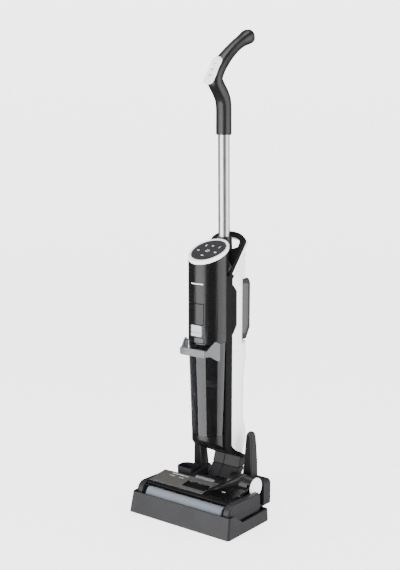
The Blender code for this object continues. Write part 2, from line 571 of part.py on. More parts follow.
def make_body():
    front = BODY_Y - BODY_FRONT_B
    wall = 0.0025
    rings = [lift(body_section(BODY_A, front), "Z", BODY_BOTTOM), lift(body_section(BODY_A, front),
                                                                       "Z", 0.5612),
             lift(body_section(BODY_A, front, split=False), "Z", 0.5645),
             slanted(body_section(BODY_A, front, split=False), BEZEL_WALL),
             slanted(body_section(BODY_A, front, wall, split=False), BEZEL_WALL),
             lift(body_section(BODY_A, front, wall, split=False), "Z", 0.5675),
             lift(body_section(BODY_A, front, wall), "Z", 0.5640),
             lift(body_section(BODY_A, front, wall), "Z", BODY_BOTTOM + wall)]
    shell = piece("body_shell", skin(rings), gloss_black)
    cut(shell, disc("Z", (0, BODY_Y), 0.018, 0.40, 0.42, sides=SMALL_ROUND))
    cut(shell, prism(box_outline(-0.0152, 0.0152, -0.02, 0.0040), "Z", 0.4235, 0.4500))
    button = [(-0.0085, 0.4240), (0.0005, 0.4240), (0.0005, 0.4495), (-0.0085, 0.4495)]
    piece("release_button", prism(button, "X", -0.0148, 0.0148, 0.0008), silver_abs, (0, -0.0085, 0.4367))


def make_display():
    front = BODY_Y - BODY_FRONT_B
    rim = 0.0058
    outer = body_section(BODY_A, front, split=False)
    inner = body_section(BODY_A, front, rim, split=False)
    rings = [slanted(outer, BEZEL_WALL - GAP), slanted(outer, 0.0008),
             slanted(body_section(BODY_A, front, 0.0008, split=False), 0.0),
             slanted(inner, 0.0), slanted(inner, BEZEL_WALL - GAP)]
    piece("bezel_ring", skin(rings, closed=True), white_abs)
    glass = body_section(BODY_A, front, rim + GAP, split=False)
    piece("display_panel", skin([slanted(glass, 0.0050), slanted(glass, 0.0005)]), gloss_black)


def make_suction():
    centre = (0, BODY_Y)
    can = [(0.4300, 0.0300), (0.4320, 0.0330), (0.4780, 0.0330), (0.4800, 0.0310), (0.4800, 0.0036),
           (0.4300, 0.0036)]
    piece("suction_motor", turned("Z", centre, can, bored=True), steel)
    lobes = 11
    vanes = []
    for k in range(lobes):
        start = 360 * k / lobes
        for turn, radius in ((0, 0.0120), (6, 0.0335), (11, 0.0340), (14, 0.0135)):
            angle = math.radians(start + turn)
            vanes.append((radius * math.cos(angle), BODY_Y + radius * math.sin(angle)))
    fan = piece("suction_fan", prism(vanes, "Z", 0.4830, 0.4930), silver_abs, (0, BODY_Y, 0.488))
    join(fan, disc("Z", centre, 0.0032, 0.4340, 0.4900, sides=SMALL_ROUND))
    pump = piece("water_pump", disc("Z", (-0.010, 0.036), 0.0130, 0.5050, 0.5330, 0.001, SMALL_ROUND),
                 dark_abs)
    join(pump, disc("Z", (-0.010, 0.036), 0.0040, 0.5300, 0.5440, sides=SMALL_ROUND))
    board = box_outline(-0.030, 0.030, 0.010, 0.066, 0.004)
    piece("control_board", prism(board, "Z", 0.5520, 0.5538), board_green)


def make_dirty_tank():
    wall = 0.0020
    top = dict(half=0.0462, front=-0.0066)
    low = dict(half=0.0405, front=0.0035, rear_half=0.0372, rear=0.0780)
    rings = [lift(body_section(**low), "Z", TANK_BOTTOM), lift(body_section(**top), "Z", TANK_TOP),
             lift(body_section(**top, inset=wall), "Z", TANK_TOP),
             lift(body_section(**low, inset=wall), "Z", TANK_BOTTOM + wall)]
    piece("dirty_tank", skin(rings), smoked)
    cap_rings = []
    for rise, inset in ((0.0003, 0.0120), (0.0010, 0.0075), (0.0032, 0.0035), (0.0065, 0.0010),
                        (0.0110, 0.0)):
        outline = body_section(**low, inset=inset)
        cap_rings.append([Vector((x, y, sole_z(y) + rise)) for x, y in outline])
    cap_rings.append(lift(body_section(**low), "Z", TANK_BOTTOM - GAP))
    piece("tank_base_cap", skin(cap_rings), black_abs)
    lid = body_section(**top, inset=wall + 0.0004)
    lower = body_section(half=0.0459, front=-0.0060, inset=wall + 0.0008, rear_half=0.0385, rear=0.0793)
    piece("tank_lid", skin([lift(lower, "Z", 0.3960), lift(lid, "Z", 0.4076)]), dark_abs)
    filter_body = [(0.3480, 0.0130), (0.3490, 0.0145), (0.3957, 0.0155)]
    piece("tank_filter", turned("Z", (-0.0190, BODY_Y), filter_body, SMALL_ROUND), fleece)
    riser = pipe("Z", (0.0140, 0.0320), 0.0110, 0.0090, TANK_BOTTOM + wall + GAP, 0.3950, SMALL_ROUND)
    piece("riser_tube", riser, dark_abs)
    ball = [(0.3040, 0.0116), (0.3040, 0.0150), (0.3060, 0.0165), (0.3170, 0.0165), (0.3190, 0.0150),
            (0.3190, 0.0116)]
    piece("tank_float", turned("Z", (0.0140, 0.0320), ball, SMALL_ROUND, bored=True),
          white_abs, (0.014, 0.032, 0.304))


def make_tank_handle():
    """A bent strap: a bar in front of the tank whose ends rise into two wings along its sides."""
    thick = 0.0030
    path = [(0.0450, 0.0190, 0.3692, 0.4080), (0.0436, 0.0120, 0.3702, 0.4128),
            (0.0424, 0.0062, 0.3735, 0.4140),
            (0.0400, -0.0020, 0.3790, 0.4085), (0.0375, -0.0100, 0.3822, 0.4010),
            (0.0345, -0.0170, 0.3822, 0.3962),
            (0.0285, -0.0228, 0.3818, 0.3985)]
    path += [(-x, y, low, high) for x, y, low, high in path[::-1]]
    rings = []
    for k, (x, y, low, high) in enumerate(path):
        before, after = path[max(k - 1, 0)], path[min(k + 1, len(path) - 1)]
        along = Vector((after[0] - before[0], after[1] - before[1])).normalized()
        out = Vector((-along.y, along.x)) * thick / 2
        rings.append([Vector((x - out.x, y - out.y, low)), Vector((x + out.x, y + out.y, low)),
                      Vector((x + out.x, y + out.y, high)), Vector((x - out.x, y - out.y, high))])
    piece("tank_handle", skin(rings), smoked)


# ---------------------------------------------------------------- upright: tube and grip
def tube_ring(radius, z):
    """A round section of the tube, which leans a little towards the roller side."""
    lean = (z - TUBE_FOOT) / (TUBE_TOP - TUBE_FOOT)
    centre = (0, TUBE_Y + (TUBE_TOP_Y - TUBE_Y) * lean)
    return lift(arc(centre, (radius, radius), 0, 360 - 360 / ROUND, ROUND - 1), "Z", z)


def make_tube():
    ends = [(TUBE_R, TUBE_FOOT), (TUBE_R, TUBE_TOP), (TUBE_R - 0.0015, TUBE_TOP),
            (TUBE_R - 0.0015, TUBE_FOOT)]
    piece("handle_tube", skin([tube_ring(r, z) for r, z in ends], closed=True), aluminium)
    collar = [(0.5990, 0.0186), (0.6300, 0.0180), (0.6390, 0.0168), (0.6390, TUBE_R + 0.0009),
              (0.5990, TUBE_R + 0.0009)]
    socket = piece("tube_socket", turned("Z", (0, TUBE_Y), collar, bored=True), black_abs)
    cut(socket, prism(box_outline(-0.03, 0.03, 0.06, BODY_Y + BODY_REAR_B + GAP), "Z", 0.58, 0.66))


def make_grip():
    """The handle grip: sections swept along a path that kinks forward, then curls up and back."""
    path = [(0.0927, 0.8680, 0.0150), (0.0927, 0.8705, 0.0166), (0.0922, 0.9250, 0.0166),
            (0.0900, 0.9420, 0.0167),
            (0.0825, 0.9565, 0.0166), (0.0690, 0.9730, 0.0163), (0.0600, 0.9850, 0.0165),
            (0.0620, 0.9980, 0.0162),
            (0.0720, 1.0130, 0.0158), (0.0870, 1.0280, 0.0148), (0.1110, 1.0470, 0.0132),
            (0.1370, 1.0640, 0.0128),
            (0.1610, 1.0760, 0.0138), (0.1780, 1.0832, 0.0162), (0.1885, 1.0870, 0.0152),
            (0.1955, 1.0895, 0.0090)]
    rings = []
    for k, (y, z, radius) in enumerate(path):
        before, after = path[max(k - 1, 0)], path[min(k + 1, len(path) - 1)]
        along = Vector((after[0] - before[0], after[1] - before[1])).normalized()
        up = Vector((0, -along.y, along.x))
        ring = []
        for u, v in arc((0, 0), (1, 1), 0, 360 - 360 / 24, 23):
            ring.append(Vector((radius * 0.98 * u, y, z)) + up * radius * v)
        rings.append(ring)
    grip = piece("grip_shell", skin(rings), black_abs)
    cut(grip, disc("Z", (0, TUBE_TOP_Y), TUBE_R + GAP + 0.0002, 0.86, TUBE_TOP + 0.0005))
    cut(grip, plate_solid(0.0123, 0.0353, -0.0043, 0.02))
    plate = piece("control_plate", plate_solid(0.0120, 0.0350, -0.0040, 0.0012), white_abs)
    for number, place in enumerate((-0.0150, 0.0, 0.0150), 1):
        cut(plate, plate_round(place, 0.0045, -0.01, 0.01))
        cut(grip, plate_round(place, 0.0045, -0.0065, 0.0))
        base = plate_point(0, place, -0.0025)
        piece(f"grip_button_{number}", plate_round(place, 0.0041, -0.0025, 0.0022), silver_abs, tuple(base))


PLATE_MIDDLE = Vector((0, 0.0510, 1.0085))
PLATE_UP = Vector((0, 0.573, 0.819)).normalized()
PLATE_OUT = Vector((0, -0.819, 0.573)).normalized()


def plate_point(x, along, out):
    return PLATE_MIDDLE + Vector((x, 0, 0)) + PLATE_UP * along + PLATE_OUT * out


def plate_solid(half_width, half_length, low, high):
    outline = box_outline(-half_width, half_width, -half_length, half_length, half_width * 0.75, 4)
    return skin([[plate_point(u, v, at) for u, v in outline] for at in (low, high)])


def plate_round(along, radius, low, high):
    outline = arc((0, along), (radius, radius), 0, 360 - 360 / 16, 15)
    return skin([[plate_point(u, v, at) for u, v in outline] for at in (low, high)])


# ---------------------------------------------------------------- build
for old in list(bpy.data.objects):
    bpy.data.objects.remove(old, do_unlink=True)

machine = bpy.data.objects.new("machine", None)
machine.location = (0, FRAME_Y, 0)
bpy.context.scene.collection.objects.link(machine)

grey_abs = plastic("grey_abs", (0.105, 0.105, 0.107), 0.55)
grey_neck = plastic("grey_neck", (0.120, 0.120, 0.120), 0.60)
dark_abs = plastic("dark_abs", (0.035, 0.035, 0.037), 0.50)
black_abs = plastic("black_abs", (0.012, 0.012, 0.012), 0.38)
gloss_black = plastic("gloss_black", (0.008, 0.008, 0.009), 0.10)
white_abs = plastic("white_abs", (0.82, 0.82, 0.82), 0.35)
silver_abs = plastic("silver_abs", (0.55, 0.56, 0.57), 0.30, 0.6)
smoked = plastic("smoked", (0.10, 0.10, 0.105), 0.12, 0.0, 0.55)
fleece = plastic("fleece", (0.28, 0.31, 0.34), 0.95)
rubber = plastic("rubber", (0.02, 0.02, 0.02), 0.80)
steel = plastic("steel", (0.55, 0.55, 0.56), 0.30, 1.0)
aluminium = plastic("aluminium", (0.77, 0.78, 0.79), 0.25, 1.0)
board_green = plastic("board_green", (0.02, 0.12, 0.05), 0.60)

make_tray()
make_rear_base()
make_post("dock_post_left", -1)
make_post("dock_post_right", 1)
make_tool_cup()
make_charge_pins()
make_cheeks()
make_chassis()
make_housing()
make_rear_deck()
make_barrel()
make_belt_drive()
make_roller()
make_wheels()
make_squeegee_and_spray()
make_window()
make_neck()
make_spine()
make_clean_tank()
make_rear_shell()
make_battery()
make_body()
make_display()
make_suction()
make_dirty_tank()
make_tank_handle()
make_tube()
make_grip()
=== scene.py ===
"""Looks of an upright wet dry floor scrubber that stands in its charging dock.

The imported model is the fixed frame: every piece here is drawn round it and rides on one of its bodies.
Places are in metres in the dock's own coordinates. Their zero is the middle of the tray, on the floor,
-Y is the roller's side and +X is the side of the motor barrel.
"""

import json
import math

import bmesh
import bpy
from bpy.props import FloatProperty, FloatVectorProperty, PointerProperty
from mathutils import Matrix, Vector, noise


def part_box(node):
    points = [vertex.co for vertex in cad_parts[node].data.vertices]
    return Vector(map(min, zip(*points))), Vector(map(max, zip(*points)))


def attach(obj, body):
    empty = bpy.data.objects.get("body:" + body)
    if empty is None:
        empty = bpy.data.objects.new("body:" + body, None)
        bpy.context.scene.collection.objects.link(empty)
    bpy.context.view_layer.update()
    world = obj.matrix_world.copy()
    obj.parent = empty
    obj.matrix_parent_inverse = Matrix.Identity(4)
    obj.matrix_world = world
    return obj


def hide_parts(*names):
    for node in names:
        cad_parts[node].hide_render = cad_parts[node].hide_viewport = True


bl_info = {
    "name": "Floor scrubber looks",
    "version": (1, 0, 0),
    "blender": (4, 5, 0),
    "location": "3D View > Sidebar > Scrubber",
    "description": "Casings, trim, finishes and studio of an upright wet dry floor scrubber",
    "category": "Object",
}

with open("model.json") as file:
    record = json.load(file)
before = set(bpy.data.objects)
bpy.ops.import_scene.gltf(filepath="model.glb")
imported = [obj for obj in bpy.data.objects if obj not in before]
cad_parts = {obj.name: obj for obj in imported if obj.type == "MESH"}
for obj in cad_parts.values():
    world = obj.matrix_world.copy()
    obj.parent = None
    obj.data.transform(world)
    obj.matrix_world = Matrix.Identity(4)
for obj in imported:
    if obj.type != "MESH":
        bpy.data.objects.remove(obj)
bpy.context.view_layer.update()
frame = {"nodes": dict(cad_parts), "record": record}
BODY_OF = {node: body for body, nodes in frame["record"]["behaviour"]["bodies"].items() for node in nodes}

TRAY_REACH = 0.079                                 # from the dock's zero to the tray's front
ZERO = Vector((0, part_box("dock_tray")[0].y + TRAY_REACH, 0))

# the roller: its axle's place from front to rear and up, and the radii of its pile and its bore
ROLLER_AXLE = (-0.040, 0.042)
PILE_RADIUS, SLEEVE_BORE, SLEEVE_HALF = 0.0204, 0.0164, 0.1078

# the rib on the window and the barrel: where its nose starts, and how it runs and climbs from there
RIB_NOSE_X, RIB_NOSE_Y, RIB_SLANT = 0.0415, -0.0180, 0.62
RIB_RUN, RIB_FOOT, RIB_RISE = 0.0760, 0.0745, 0.0265

# the two top plates of the roller window
PLATE_LEFT, PLATE_RIGHT, PLATE_FRONT, PLATE_REAR = -0.1140, 0.1142, -0.0368, 0.0202
PLATE_CORNER, PLATE_GAP = 0.013, 0.0001

# the upright's body: an upright cylinder, a little wider than deep
BODY_Y = 0.0385
BODY_HALF_X, BODY_HALF_Y = 0.0465, 0.0455
DISPLAY_Z, DISPLAY_LEAN = 0.615, math.radians(25)

# the control plate on the grip
BUTTON_PLACES = (-0.015, 0.0, 0.015)
PLATE_MIDDLE = Vector((0, 0.0510, 1.0085))
PLATE_UP = Vector((0, 0.573, 0.819)).normalized()
PLATE_OUT = Vector((0, -0.819, 0.573)).normalized()

# the carry loop's plane
LOOP_FOOT = Vector((0, 0.0615, 0.5605))
LOOP_UP = Vector((0, 0.637, 0.771))
LOOP_OUT = Vector((0, -0.771, 0.637))

# the studio: the middle of what the softboxes light, and the point that the camera looks at
LIT_MIDDLE = Vector((0, 0.05, 0.50))
LOOKED_AT = Vector((0.0253, -0.0265, 0.5459))


def linear(code):
    """The linear colour of an sRGB hex code."""
    parts = [int(code[k:k + 2], 16) / 255 for k in (0, 2, 4)]
    return tuple(c / 12.92 if c <= 0.04045 else ((c + 0.055) / 1.055) ** 2.4 for c in parts)


def colour(name, description, code):
    return FloatVectorProperty(name=name, description=description, subtype="COLOR", size=3,
                               min=0.0, max=1.0, default=linear(code))


def length(name, description, metres):
    return FloatProperty(name=name, description=description, unit="LENGTH", subtype="DISTANCE",
                         min=0.0, default=metres, precision=5)


class ScrubberColours(bpy.types.PropertyGroup):
    grey_abs: colour("Grey ABS", "Dock, cheeks, housing and neck", "1a1a1c")
    dark_abs: colour("Dark ABS", "Cup, roller core, battery and inner mouldings", "151517")
    black_abs: colour("Black ABS", "Spine, loop, grip and chassis", "0c0c0d")
    piano_black: colour("Polished black", "Body, base cap and right-hand top plate", "070708")
    mid_grey: colour("Mid grey ABS", "Side panels of the battery and the step under the button", "3c3c3e")
    pale_grey: colour("Pale grey ABS", "Battery latch", "a4a5a8")
    white_abs: colour("White ABS", "Rear shell, clean tank, bezel and control plate", "dededf")
    silver: colour("Silver lacquer", "Latch, buttons and fan", "a2a4a7")
    left_plate_reflection_grey: colour("Taupe plate", "Left-hand top plate of the roller window", "403f3d")
    # the left-hand top plate's lighter grey is a painted reflection of the light from the left
    smoke: colour("Smoke tint", "Dirty-water tank and roller window", "4c4c50")
    haze: colour("Hazed clear", "Handle of the dirty-water tank", "6e6f72")
    fleece: colour("Fleece", "Pile of the roller sleeve", "4e565e")
    rubber: colour("Rubber", "Wheels, belt and squeegee", "1b1b1b")
    steel: colour("Steel", "Axle, pins, pulley and motor cans", "c0c0c2")
    aluminium: colour("Aluminium", "Handle tube", "d6d8da")
    print_grey: colour("Print", "Marks and icons", "d0d2d4")
    display: colour("Display", "Window of the round display", "2a2a2c")
    board: colour("Solder mask", "Control board", "1e5a35")
    backdrop: colour("Backdrop", "Studio floor and wall", "c8c8c8")


class ScrubberSizes(bpy.types.PropertyGroup):
    edge: length("Edge round", "Radius that the moulds leave on most edges", 0.0009)
    seam: length("Seam", "Width of a parting groove", 0.0008)
    seam_depth: length("Seam depth", "Depth of a parting groove", 0.0007)
    pile: length("Pile", "Height of the roller's tufts", 0.0007)
    trim: length("Trim", "Thickness of a print or a thin plate", 0.0005)


class ScrubberStudio(bpy.types.PropertyGroup):
    azimuth: FloatProperty(name="Azimuth", description="Camera's turn to the right of the roller side",
                           subtype="ANGLE", unit="ROTATION", default=math.radians(37.83))
    elevation: FloatProperty(name="Elevation", description="Camera's rise", subtype="ANGLE",
                             unit="ROTATION", default=math.radians(9.97))
    distance: length("Distance", "From the camera to the point that it looks at", 2.30)
    lens: FloatProperty(name="Lens", description="Focal length in millimetres", default=66.5)
    key: FloatProperty(name="Key light", description="Power of the left softbox in watts", default=84.0)
    rim: FloatProperty(name="Rim light", description="Power of the right-hand softbox in watts", default=52.0)
    top: FloatProperty(name="Top light", description="Power of the softbox overhead in watts", default=70.0)
    fill: FloatProperty(name="Fill", description="Brightness of the studio's air", default=0.12)


# ---------------------------------------------------------------- outlines and meshes
def arc(centre, radii, start, stop, steps):
    """Points of an elliptical arc, both ends included; the angles are in degrees."""
    points = []
    for k in range(steps + 1):
        turn = math.radians(start + (stop - start) * k / steps)
        points.append((centre[0] + radii[0] * math.cos(turn), centre[1] + radii[1] * math.sin(turn)))
    return points


def fillet(corners, radius, steps=5):
    """An outline with every corner rounded."""
    out = []
    for k, corner in enumerate(corners):
        at = Vector(corner)
        back = (Vector(corners[k - 1]) - at)
        ahead = (Vector(corners[(k + 1) % len(corners)]) - at)
        half = back.angle(ahead) / 2
        reach = min(radius / math.tan(half), 0.48 * min(back.length, ahead.length))
        start, stop = at + back.normalized() * reach, at + ahead.normalized() * reach
        for step in range(steps + 1):
            t = step / steps
            out.append(tuple(start * (1 - t) ** 2 + at * 2 * t * (1 - t) + stop * t ** 2))
    return out


def rectangle(u0, u1, v0, v1, radius=0.0):
    corners = [(u0, v0), (u1, v0), (u1, v1), (u0, v1)]
    return fillet(corners, radius) if radius else corners


def smooth(points, per_span):
    """A Catmull-Rom curve through points of any number of values."""
    ends = [points[0], *points, points[-1]]
    out = []
    for k in range(1, len(ends) - 2):
        for step in range(per_span):
            t = step / per_span
            near = zip(ends[k - 1], ends[k], ends[k + 1], ends[k + 2])
            out.append(tuple(0.5 * (2 * b + (c - a) * t + (2 * a - 5 * b + 4 * c - d) * t * t
                                    + (3 * b - a - 3 * c + d) * t ** 3) for a, b, c, d in near))
    return out + [tuple(points[-1])]


def lift(outline, axis, at):
    """Puts a plane outline into space: its two values go to the two axes other than this one."""
    if axis == "X":
        return [Vector((at, u, v)) for u, v in outline]
    if axis == "Y":
        return [Vector((u, at, v)) for u, v in outline]
    return [Vector((u, v, at)) for u, v in outline]


def loft(rings, closed=False):
    """A solid whose side joins the rings, capped at both ends or closed on itself."""
    mesh = bmesh.new()
    rows = [[mesh.verts.new(point) for point in ring] for ring in rings]
    pairs = list(zip(rows, rows[1:])) + ([(rows[-1], rows[0])] if closed else [])
    for low, high in pairs:
        for k in range(len(low)):
            n = (k + 1) % len(low)
            mesh.faces.new((low[k], low[n], high[n], high[k]))
    if not closed:
        mesh.faces.new(rows[0][::-1])
        mesh.faces.new(rows[-1])
    bmesh.ops.recalc_face_normals(mesh, faces=mesh.faces)
    return mesh


def slab(outline, axis, low, high):
    return loft([lift(outline, axis, low), lift(outline, axis, high)])


def turned(axis, centre, profile, sides=64, bored=False):
    """A turned solid from (place along the axis, radius) pairs."""
    rings = [lift(arc(centre, (r, r), 0, 360 - 360 / sides, sides - 1), axis, at) for at, r in profile]
    return loft(rings, closed=bored)


def merged(meshes):
    """Several separate shapes as one mesh."""
    whole = bmesh.new()
    for mesh in meshes:
        data = bpy.data.meshes.new("shape")
        mesh.to_mesh(data)
        mesh.free()
        whole.from_mesh(data)
        bpy.data.meshes.remove(data)
    return whole


# ---------------------------------------------------------------- pieces
def solid(name, mesh, shift=True):
    """An object from a mesh drawn in the dock's coordinates."""
    if shift:
        bmesh.ops.translate(mesh, vec=ZERO, verts=mesh.verts)
    data = bpy.data.meshes.new(name)
    mesh.to_mesh(data)
    mesh.free()
    thing = bpy.data.objects.new(name, data)
    bpy.context.scene.collection.objects.link(thing)
    return thing


def settle(thing):
    """Makes the result of the modifiers the object's own mesh."""
    graph = bpy.context.evaluated_depsgraph_get()
    done = bpy.data.meshes.new_from_object(thing.evaluated_get(graph))
    thing.modifiers.clear()
    thing.data = done


def carve(thing, mesh, operation="DIFFERENCE"):
    guide = solid("guide", mesh)
    boolean = thing.modifiers.new("carve", "BOOLEAN")
    boolean.operation = operation
    boolean.object = guide
    settle(thing)
    bpy.data.objects.remove(guide)


def soften(thing, width, segments=2, sharp=35):
    """Rounds the edges as a mould leaves them, and shades the faces smooth."""
    if width:
        bevel = thing.modifiers.new("edge", "BEVEL")
        bevel.width = width
        bevel.segments = segments
        bevel.limit_method = "ANGLE"
        bevel.angle_limit = math.radians(sharp)
        settle(thing)
    thing.data.shade_smooth()
    thing.data.set_sharp_from_angle(angle=math.radians(48 if width else sharp))
    thing.modifiers.new("normals", "WEIGHTED_NORMAL").keep_sharp = True
    settle(thing)


def wear(thing, material, node, stands_for=True):
    """Gives a piece its finish and hangs it on the body of a node, which it may stand for."""
    thing.data.materials.clear()
    thing.data.materials.append(material)
    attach(thing, BODY_OF[node])
    if stands_for:
        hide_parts(node)
    return thing


def recast(node, material, edge=None, cuts=(), joins=(), segments=2):
    """The solid of a node drawn again with its parting grooves cut and its edges rounded."""
    mesh = bmesh.new()
    mesh.from_mesh(frame["nodes"][node].data)
    bmesh.ops.remove_doubles(mesh, verts=mesh.verts, dist=2e-5)
    bmesh.ops.dissolve_limit(mesh, angle_limit=math.radians(0.8), verts=mesh.verts, edges=mesh.edges)
    thing = solid(f"{node}_moulding", mesh, shift=False)
    for cutter in cuts:
        carve(thing, cutter)
    for extra in joins:
        carve(thing, extra, "UNION")
    soften(thing, sizes().edge if edge is None else edge, segments)
    return wear(thing, material, node)


def added(name, mesh, material, node, edge=0.0, sharp=35):
    """A piece of trim that rides with a node and stands for none."""
    thing = solid(name, mesh)
    soften(thing, edge, sharp=sharp)
    return wear(thing, material, node, stands_for=False)


def sizes():
    return bpy.context.scene.scrubber_sizes


def colours():
    return bpy.context.scene.scrubber_colours


# ---------------------------------------------------------------- finishes
def add(tree, kind, settings=None, inputs=None):
    """Adds a node, sets its own properties, and gives each input a value or the output that feeds it."""
    made = tree.nodes.new(kind)
    for name, value in (settings or {}).items():
        setattr(made, name, value)
    for name, value in (inputs or {}).items():
        if isinstance(value, bpy.types.NodeSocket):
            tree.links.new(value, made.inputs[name])
        else:
            made.inputs[name].default_value = value
    return made


def finish(name, base, roughness, grain_mm, relief_mm, mottle=0.05, flow_mm=45.0, stretch=(1, 1, 1),
           spread=0.05, **shader):
    """A surface whose relief, gloss and tone vary as its making leaves them.
    The grain is the fine relief, and the flow is the slow drift of tone and gloss across a piece."""
    made = bpy.data.materials.get(name)
    if made:
        return made
    made = bpy.data.materials.new(name)
    made.use_nodes = True
    tree = made.node_tree
    surface = tree.nodes["Principled BSDF"]
    place = add(tree, "ShaderNodeTexCoord").outputs["Object"]
    along = add(tree, "ShaderNodeMapping", {}, {"Vector": place, "Scale": stretch}).outputs["Vector"]
    grain = add(tree, "ShaderNodeTexNoise", {}, {"Vector": along, "Scale": 1000 / grain_mm, "Detail": 3.0})
    flow = add(tree, "ShaderNodeTexNoise", {}, {"Vector": place, "Scale": 1000 / flow_mm, "Detail": 4.0})
    low = (*(channel * (1 - mottle) for channel in base), 1.0)
    high = (*(min(1.0, channel * (1 + mottle)) for channel in base), 1.0)
    tone = add(tree, "ShaderNodeMix", {"data_type": "RGBA"}, {0: flow.outputs["Fac"], 6: low, 7: high})
    gloss = add(tree, "ShaderNodeMapRange", {},
                {"Value": flow.outputs["Fac"], "From Min": 0.3, "From Max": 0.7,
                 "To Min": max(0.0, roughness - spread), "To Max": roughness + spread})
    relief = add(tree, "ShaderNodeBump", {}, {"Height": grain.outputs["Fac"], "Strength": 0.5,
                                              "Distance": relief_mm / 1000})
    tree.links.new(tone.outputs[2], surface.inputs["Base Color"])
    tree.links.new(gloss.outputs["Result"], surface.inputs["Roughness"])
    tree.links.new(relief.outputs["Normal"], surface.inputs["Normal"])
    for socket, value in shader.items():
        surface.inputs[socket.replace("_", " ")].default_value = value
    return made


def grey_abs():
    # spark-textured ABS: a dry, even grey whose highlights spread wide
    return finish("moulded_grey_abs", colours().grey_abs, 0.46, 1.1, 0.03, Specular_IOR_Level=0.32)


def dark_abs():
    # the same texture in a deeper grey
    return finish("moulded_dark_abs", colours().dark_abs, 0.42, 1.1, 0.03)


def black_abs():
    # satin-moulded ABS: soft long highlights on black
    return finish("satin_black_abs", colours().black_abs, 0.36, 1.4, 0.012, Specular_IOR_Level=0.55)


def etched_black_and_painted_shade():
    # heavily etched ABS: black that mirrors hardly anything; on the posts' fronts it is a sheet of painted
    # shade
    return finish("etched_black_abs_and_painted_shade", colours().black_abs, 0.55, 1.2, 0.02, Specular_IOR_Level=0.12)


def mid_grey_abs():
    # satin ABS in a middle grey
    return finish("satin_mid_grey_abs", colours().mid_grey, 0.40, 1.2, 0.015, mottle=0.03)


def pale_grey_abs():
    # satin ABS in a pale grey
    return finish("satin_pale_grey_abs", colours().pale_grey, 0.40, 1.2, 0.015, mottle=0.02)


def piano_black():
    # polished ABS: near-mirror black with a faint ripple of shrinkage
    return finish("polished_black_abs", colours().piano_black, 0.27, 24.0, 0.003, spread=0.02)


def white_abs():
    # semi-gloss ABS: clean white with faint sink marks
    return finish("semi_gloss_white_abs", colours().white_abs, 0.30, 9.0, 0.02, mottle=0.012)


def silver_lacquer():
    # silver lacquer over plastic: bright, slightly grainy flake
    return finish("silver_lacquered_plastic", colours().silver, 0.28, 0.7, 0.01, Metallic=0.75)


def left_plate_reflection_finish():
    # semi-gloss plate, lighter grey than the black right-hand plate: a painted reflection of the light from
    # the left
    return finish("left_plate_painted_reflection", colours().left_plate_reflection_grey, 0.34, 16.0, 0.004, spread=0.03)


def smoked_clear():
    # smoke-tinted clear styrene: dark inside, with crisp reflections off both skins
    return finish("smoked_clear_styrene", colours().smoke, 0.06, 18.0, 0.01, spread=0.03,
                  Transmission_Weight=1.0, IOR=1.55)


def haze_and_painted_highlight():
    # clear plastic with a frosted back: pale grey and half see-through; the pale strip on the window's front
    # slope uses it as a painted highlight
    return finish("frosted_styrene_and_painted_highlight", colours().haze, 0.22, 6.0, 0.02, spread=0.04,
                  Transmission_Weight=0.6, IOR=1.5)


def fleece():
    # woven microfibre pile, drawn at 1.6 mm tufts because the real fibres are too fine to show
    return finish("microfibre_fleece", colours().fleece, 0.9, 1.6, 0.5, mottle=0.16, flow_mm=7.0,
                  Sheen_Weight=0.5, Sheen_Roughness=0.5)


def rubber():
    # nitrile rubber: dull black that greys where it rubs
    return finish("nitrile_rubber", colours().rubber, 0.72, 1.0, 0.04, mottle=0.15)


def steel():
    # turned steel: fine rings across the axis
    return finish("turned_steel", colours().steel, 0.30, 0.6, 0.01, stretch=(1.0, 0.05, 0.05), Metallic=1.0)


def aluminium():
    # anodised drawn tube: fine draw lines along its length
    return finish("anodised_aluminium", colours().aluminium, 0.34, 0.8, 0.008, stretch=(1, 1, 0.01),
                  spread=0.02, Metallic=1.0)


def print_ink():
    # pad-printed ink: flat pale grey
    return finish("pad_print", colours().print_grey, 0.5, 0.9, 0.005, mottle=0.03)


def display_acrylic():
    # hard-coated acrylic over a dark screen
    return finish("dark_display_acrylic", colours().display, 0.14, 20.0, 0.01, spread=0.02)


def solder_mask():
    # solder mask over a copper-clad board
    return finish("solder_mask", colours().board, 0.4, 2.0, 0.05, mottle=0.2, flow_mm=6.0)


# ---------------------------------------------------------------- dock
def post_painted_shade(side):
    """A dark matt sheet on the front of a post: painted shade, where the neck's shaded side and the shadow
    beside it fall.
    """
    outline = [(0.0630, 0.0850), (0.0812, 0.0850), (0.0806, 0.1500), (0.0790, 0.1740), (0.0758, 0.1840),
               (0.0735, 0.1840), (0.0702, 0.1740), (0.0680, 0.1500)]
    return slab(fillet([(side * x, z) for x, z in outline], 0.003), "Y", 0.0901, 0.0935)


def make_dock():
    rim = rectangle(-0.1382, 0.1382, -0.0662, 0.0749, 0.004)
    recast("dock_tray", grey_abs(), cuts=[slab(rim, "Z", 0.0473, 0.0600)], edge=0.0011)
    recast("dock_rear_base", grey_abs(), edge=0.0010)
    recast("dock_tool_cup", dark_abs(), edge=0.0009)
    recast("dock_power_inlet", black_abs(), edge=0.0003)
    for side, name in ((-1, "dock_post_left"), (1, "dock_post_right")):
        recast(name, grey_abs(), edge=0.0012)
        # a dark matt sheet on each post's front: painted shade beside the neck
        added(f"{name}_painted_shade", post_painted_shade(side), etched_black_and_painted_shade(), name, 0.0003)
    for name in ("charge_pin_left", "charge_pin_right"):
        recast(name, steel(), edge=0.0003)


# ---------------------------------------------------------------- cleaning head
def roof(y):
    """Height of the roller window's top at a place from front to rear."""
    knots = ((-0.0528, 0.0642), (-0.0500, 0.0668), (-0.0440, 0.0700), (-0.0380, 0.0728), (-0.0100, 0.0768),
             (0.0205, 0.0800))
    for (y0, z0), (y1, z1) in zip(knots, knots[1:]):
        if y <= y1:
            return z0 + (z1 - z0) * (y - y0) / (y1 - y0)
    return knots[-1][1]


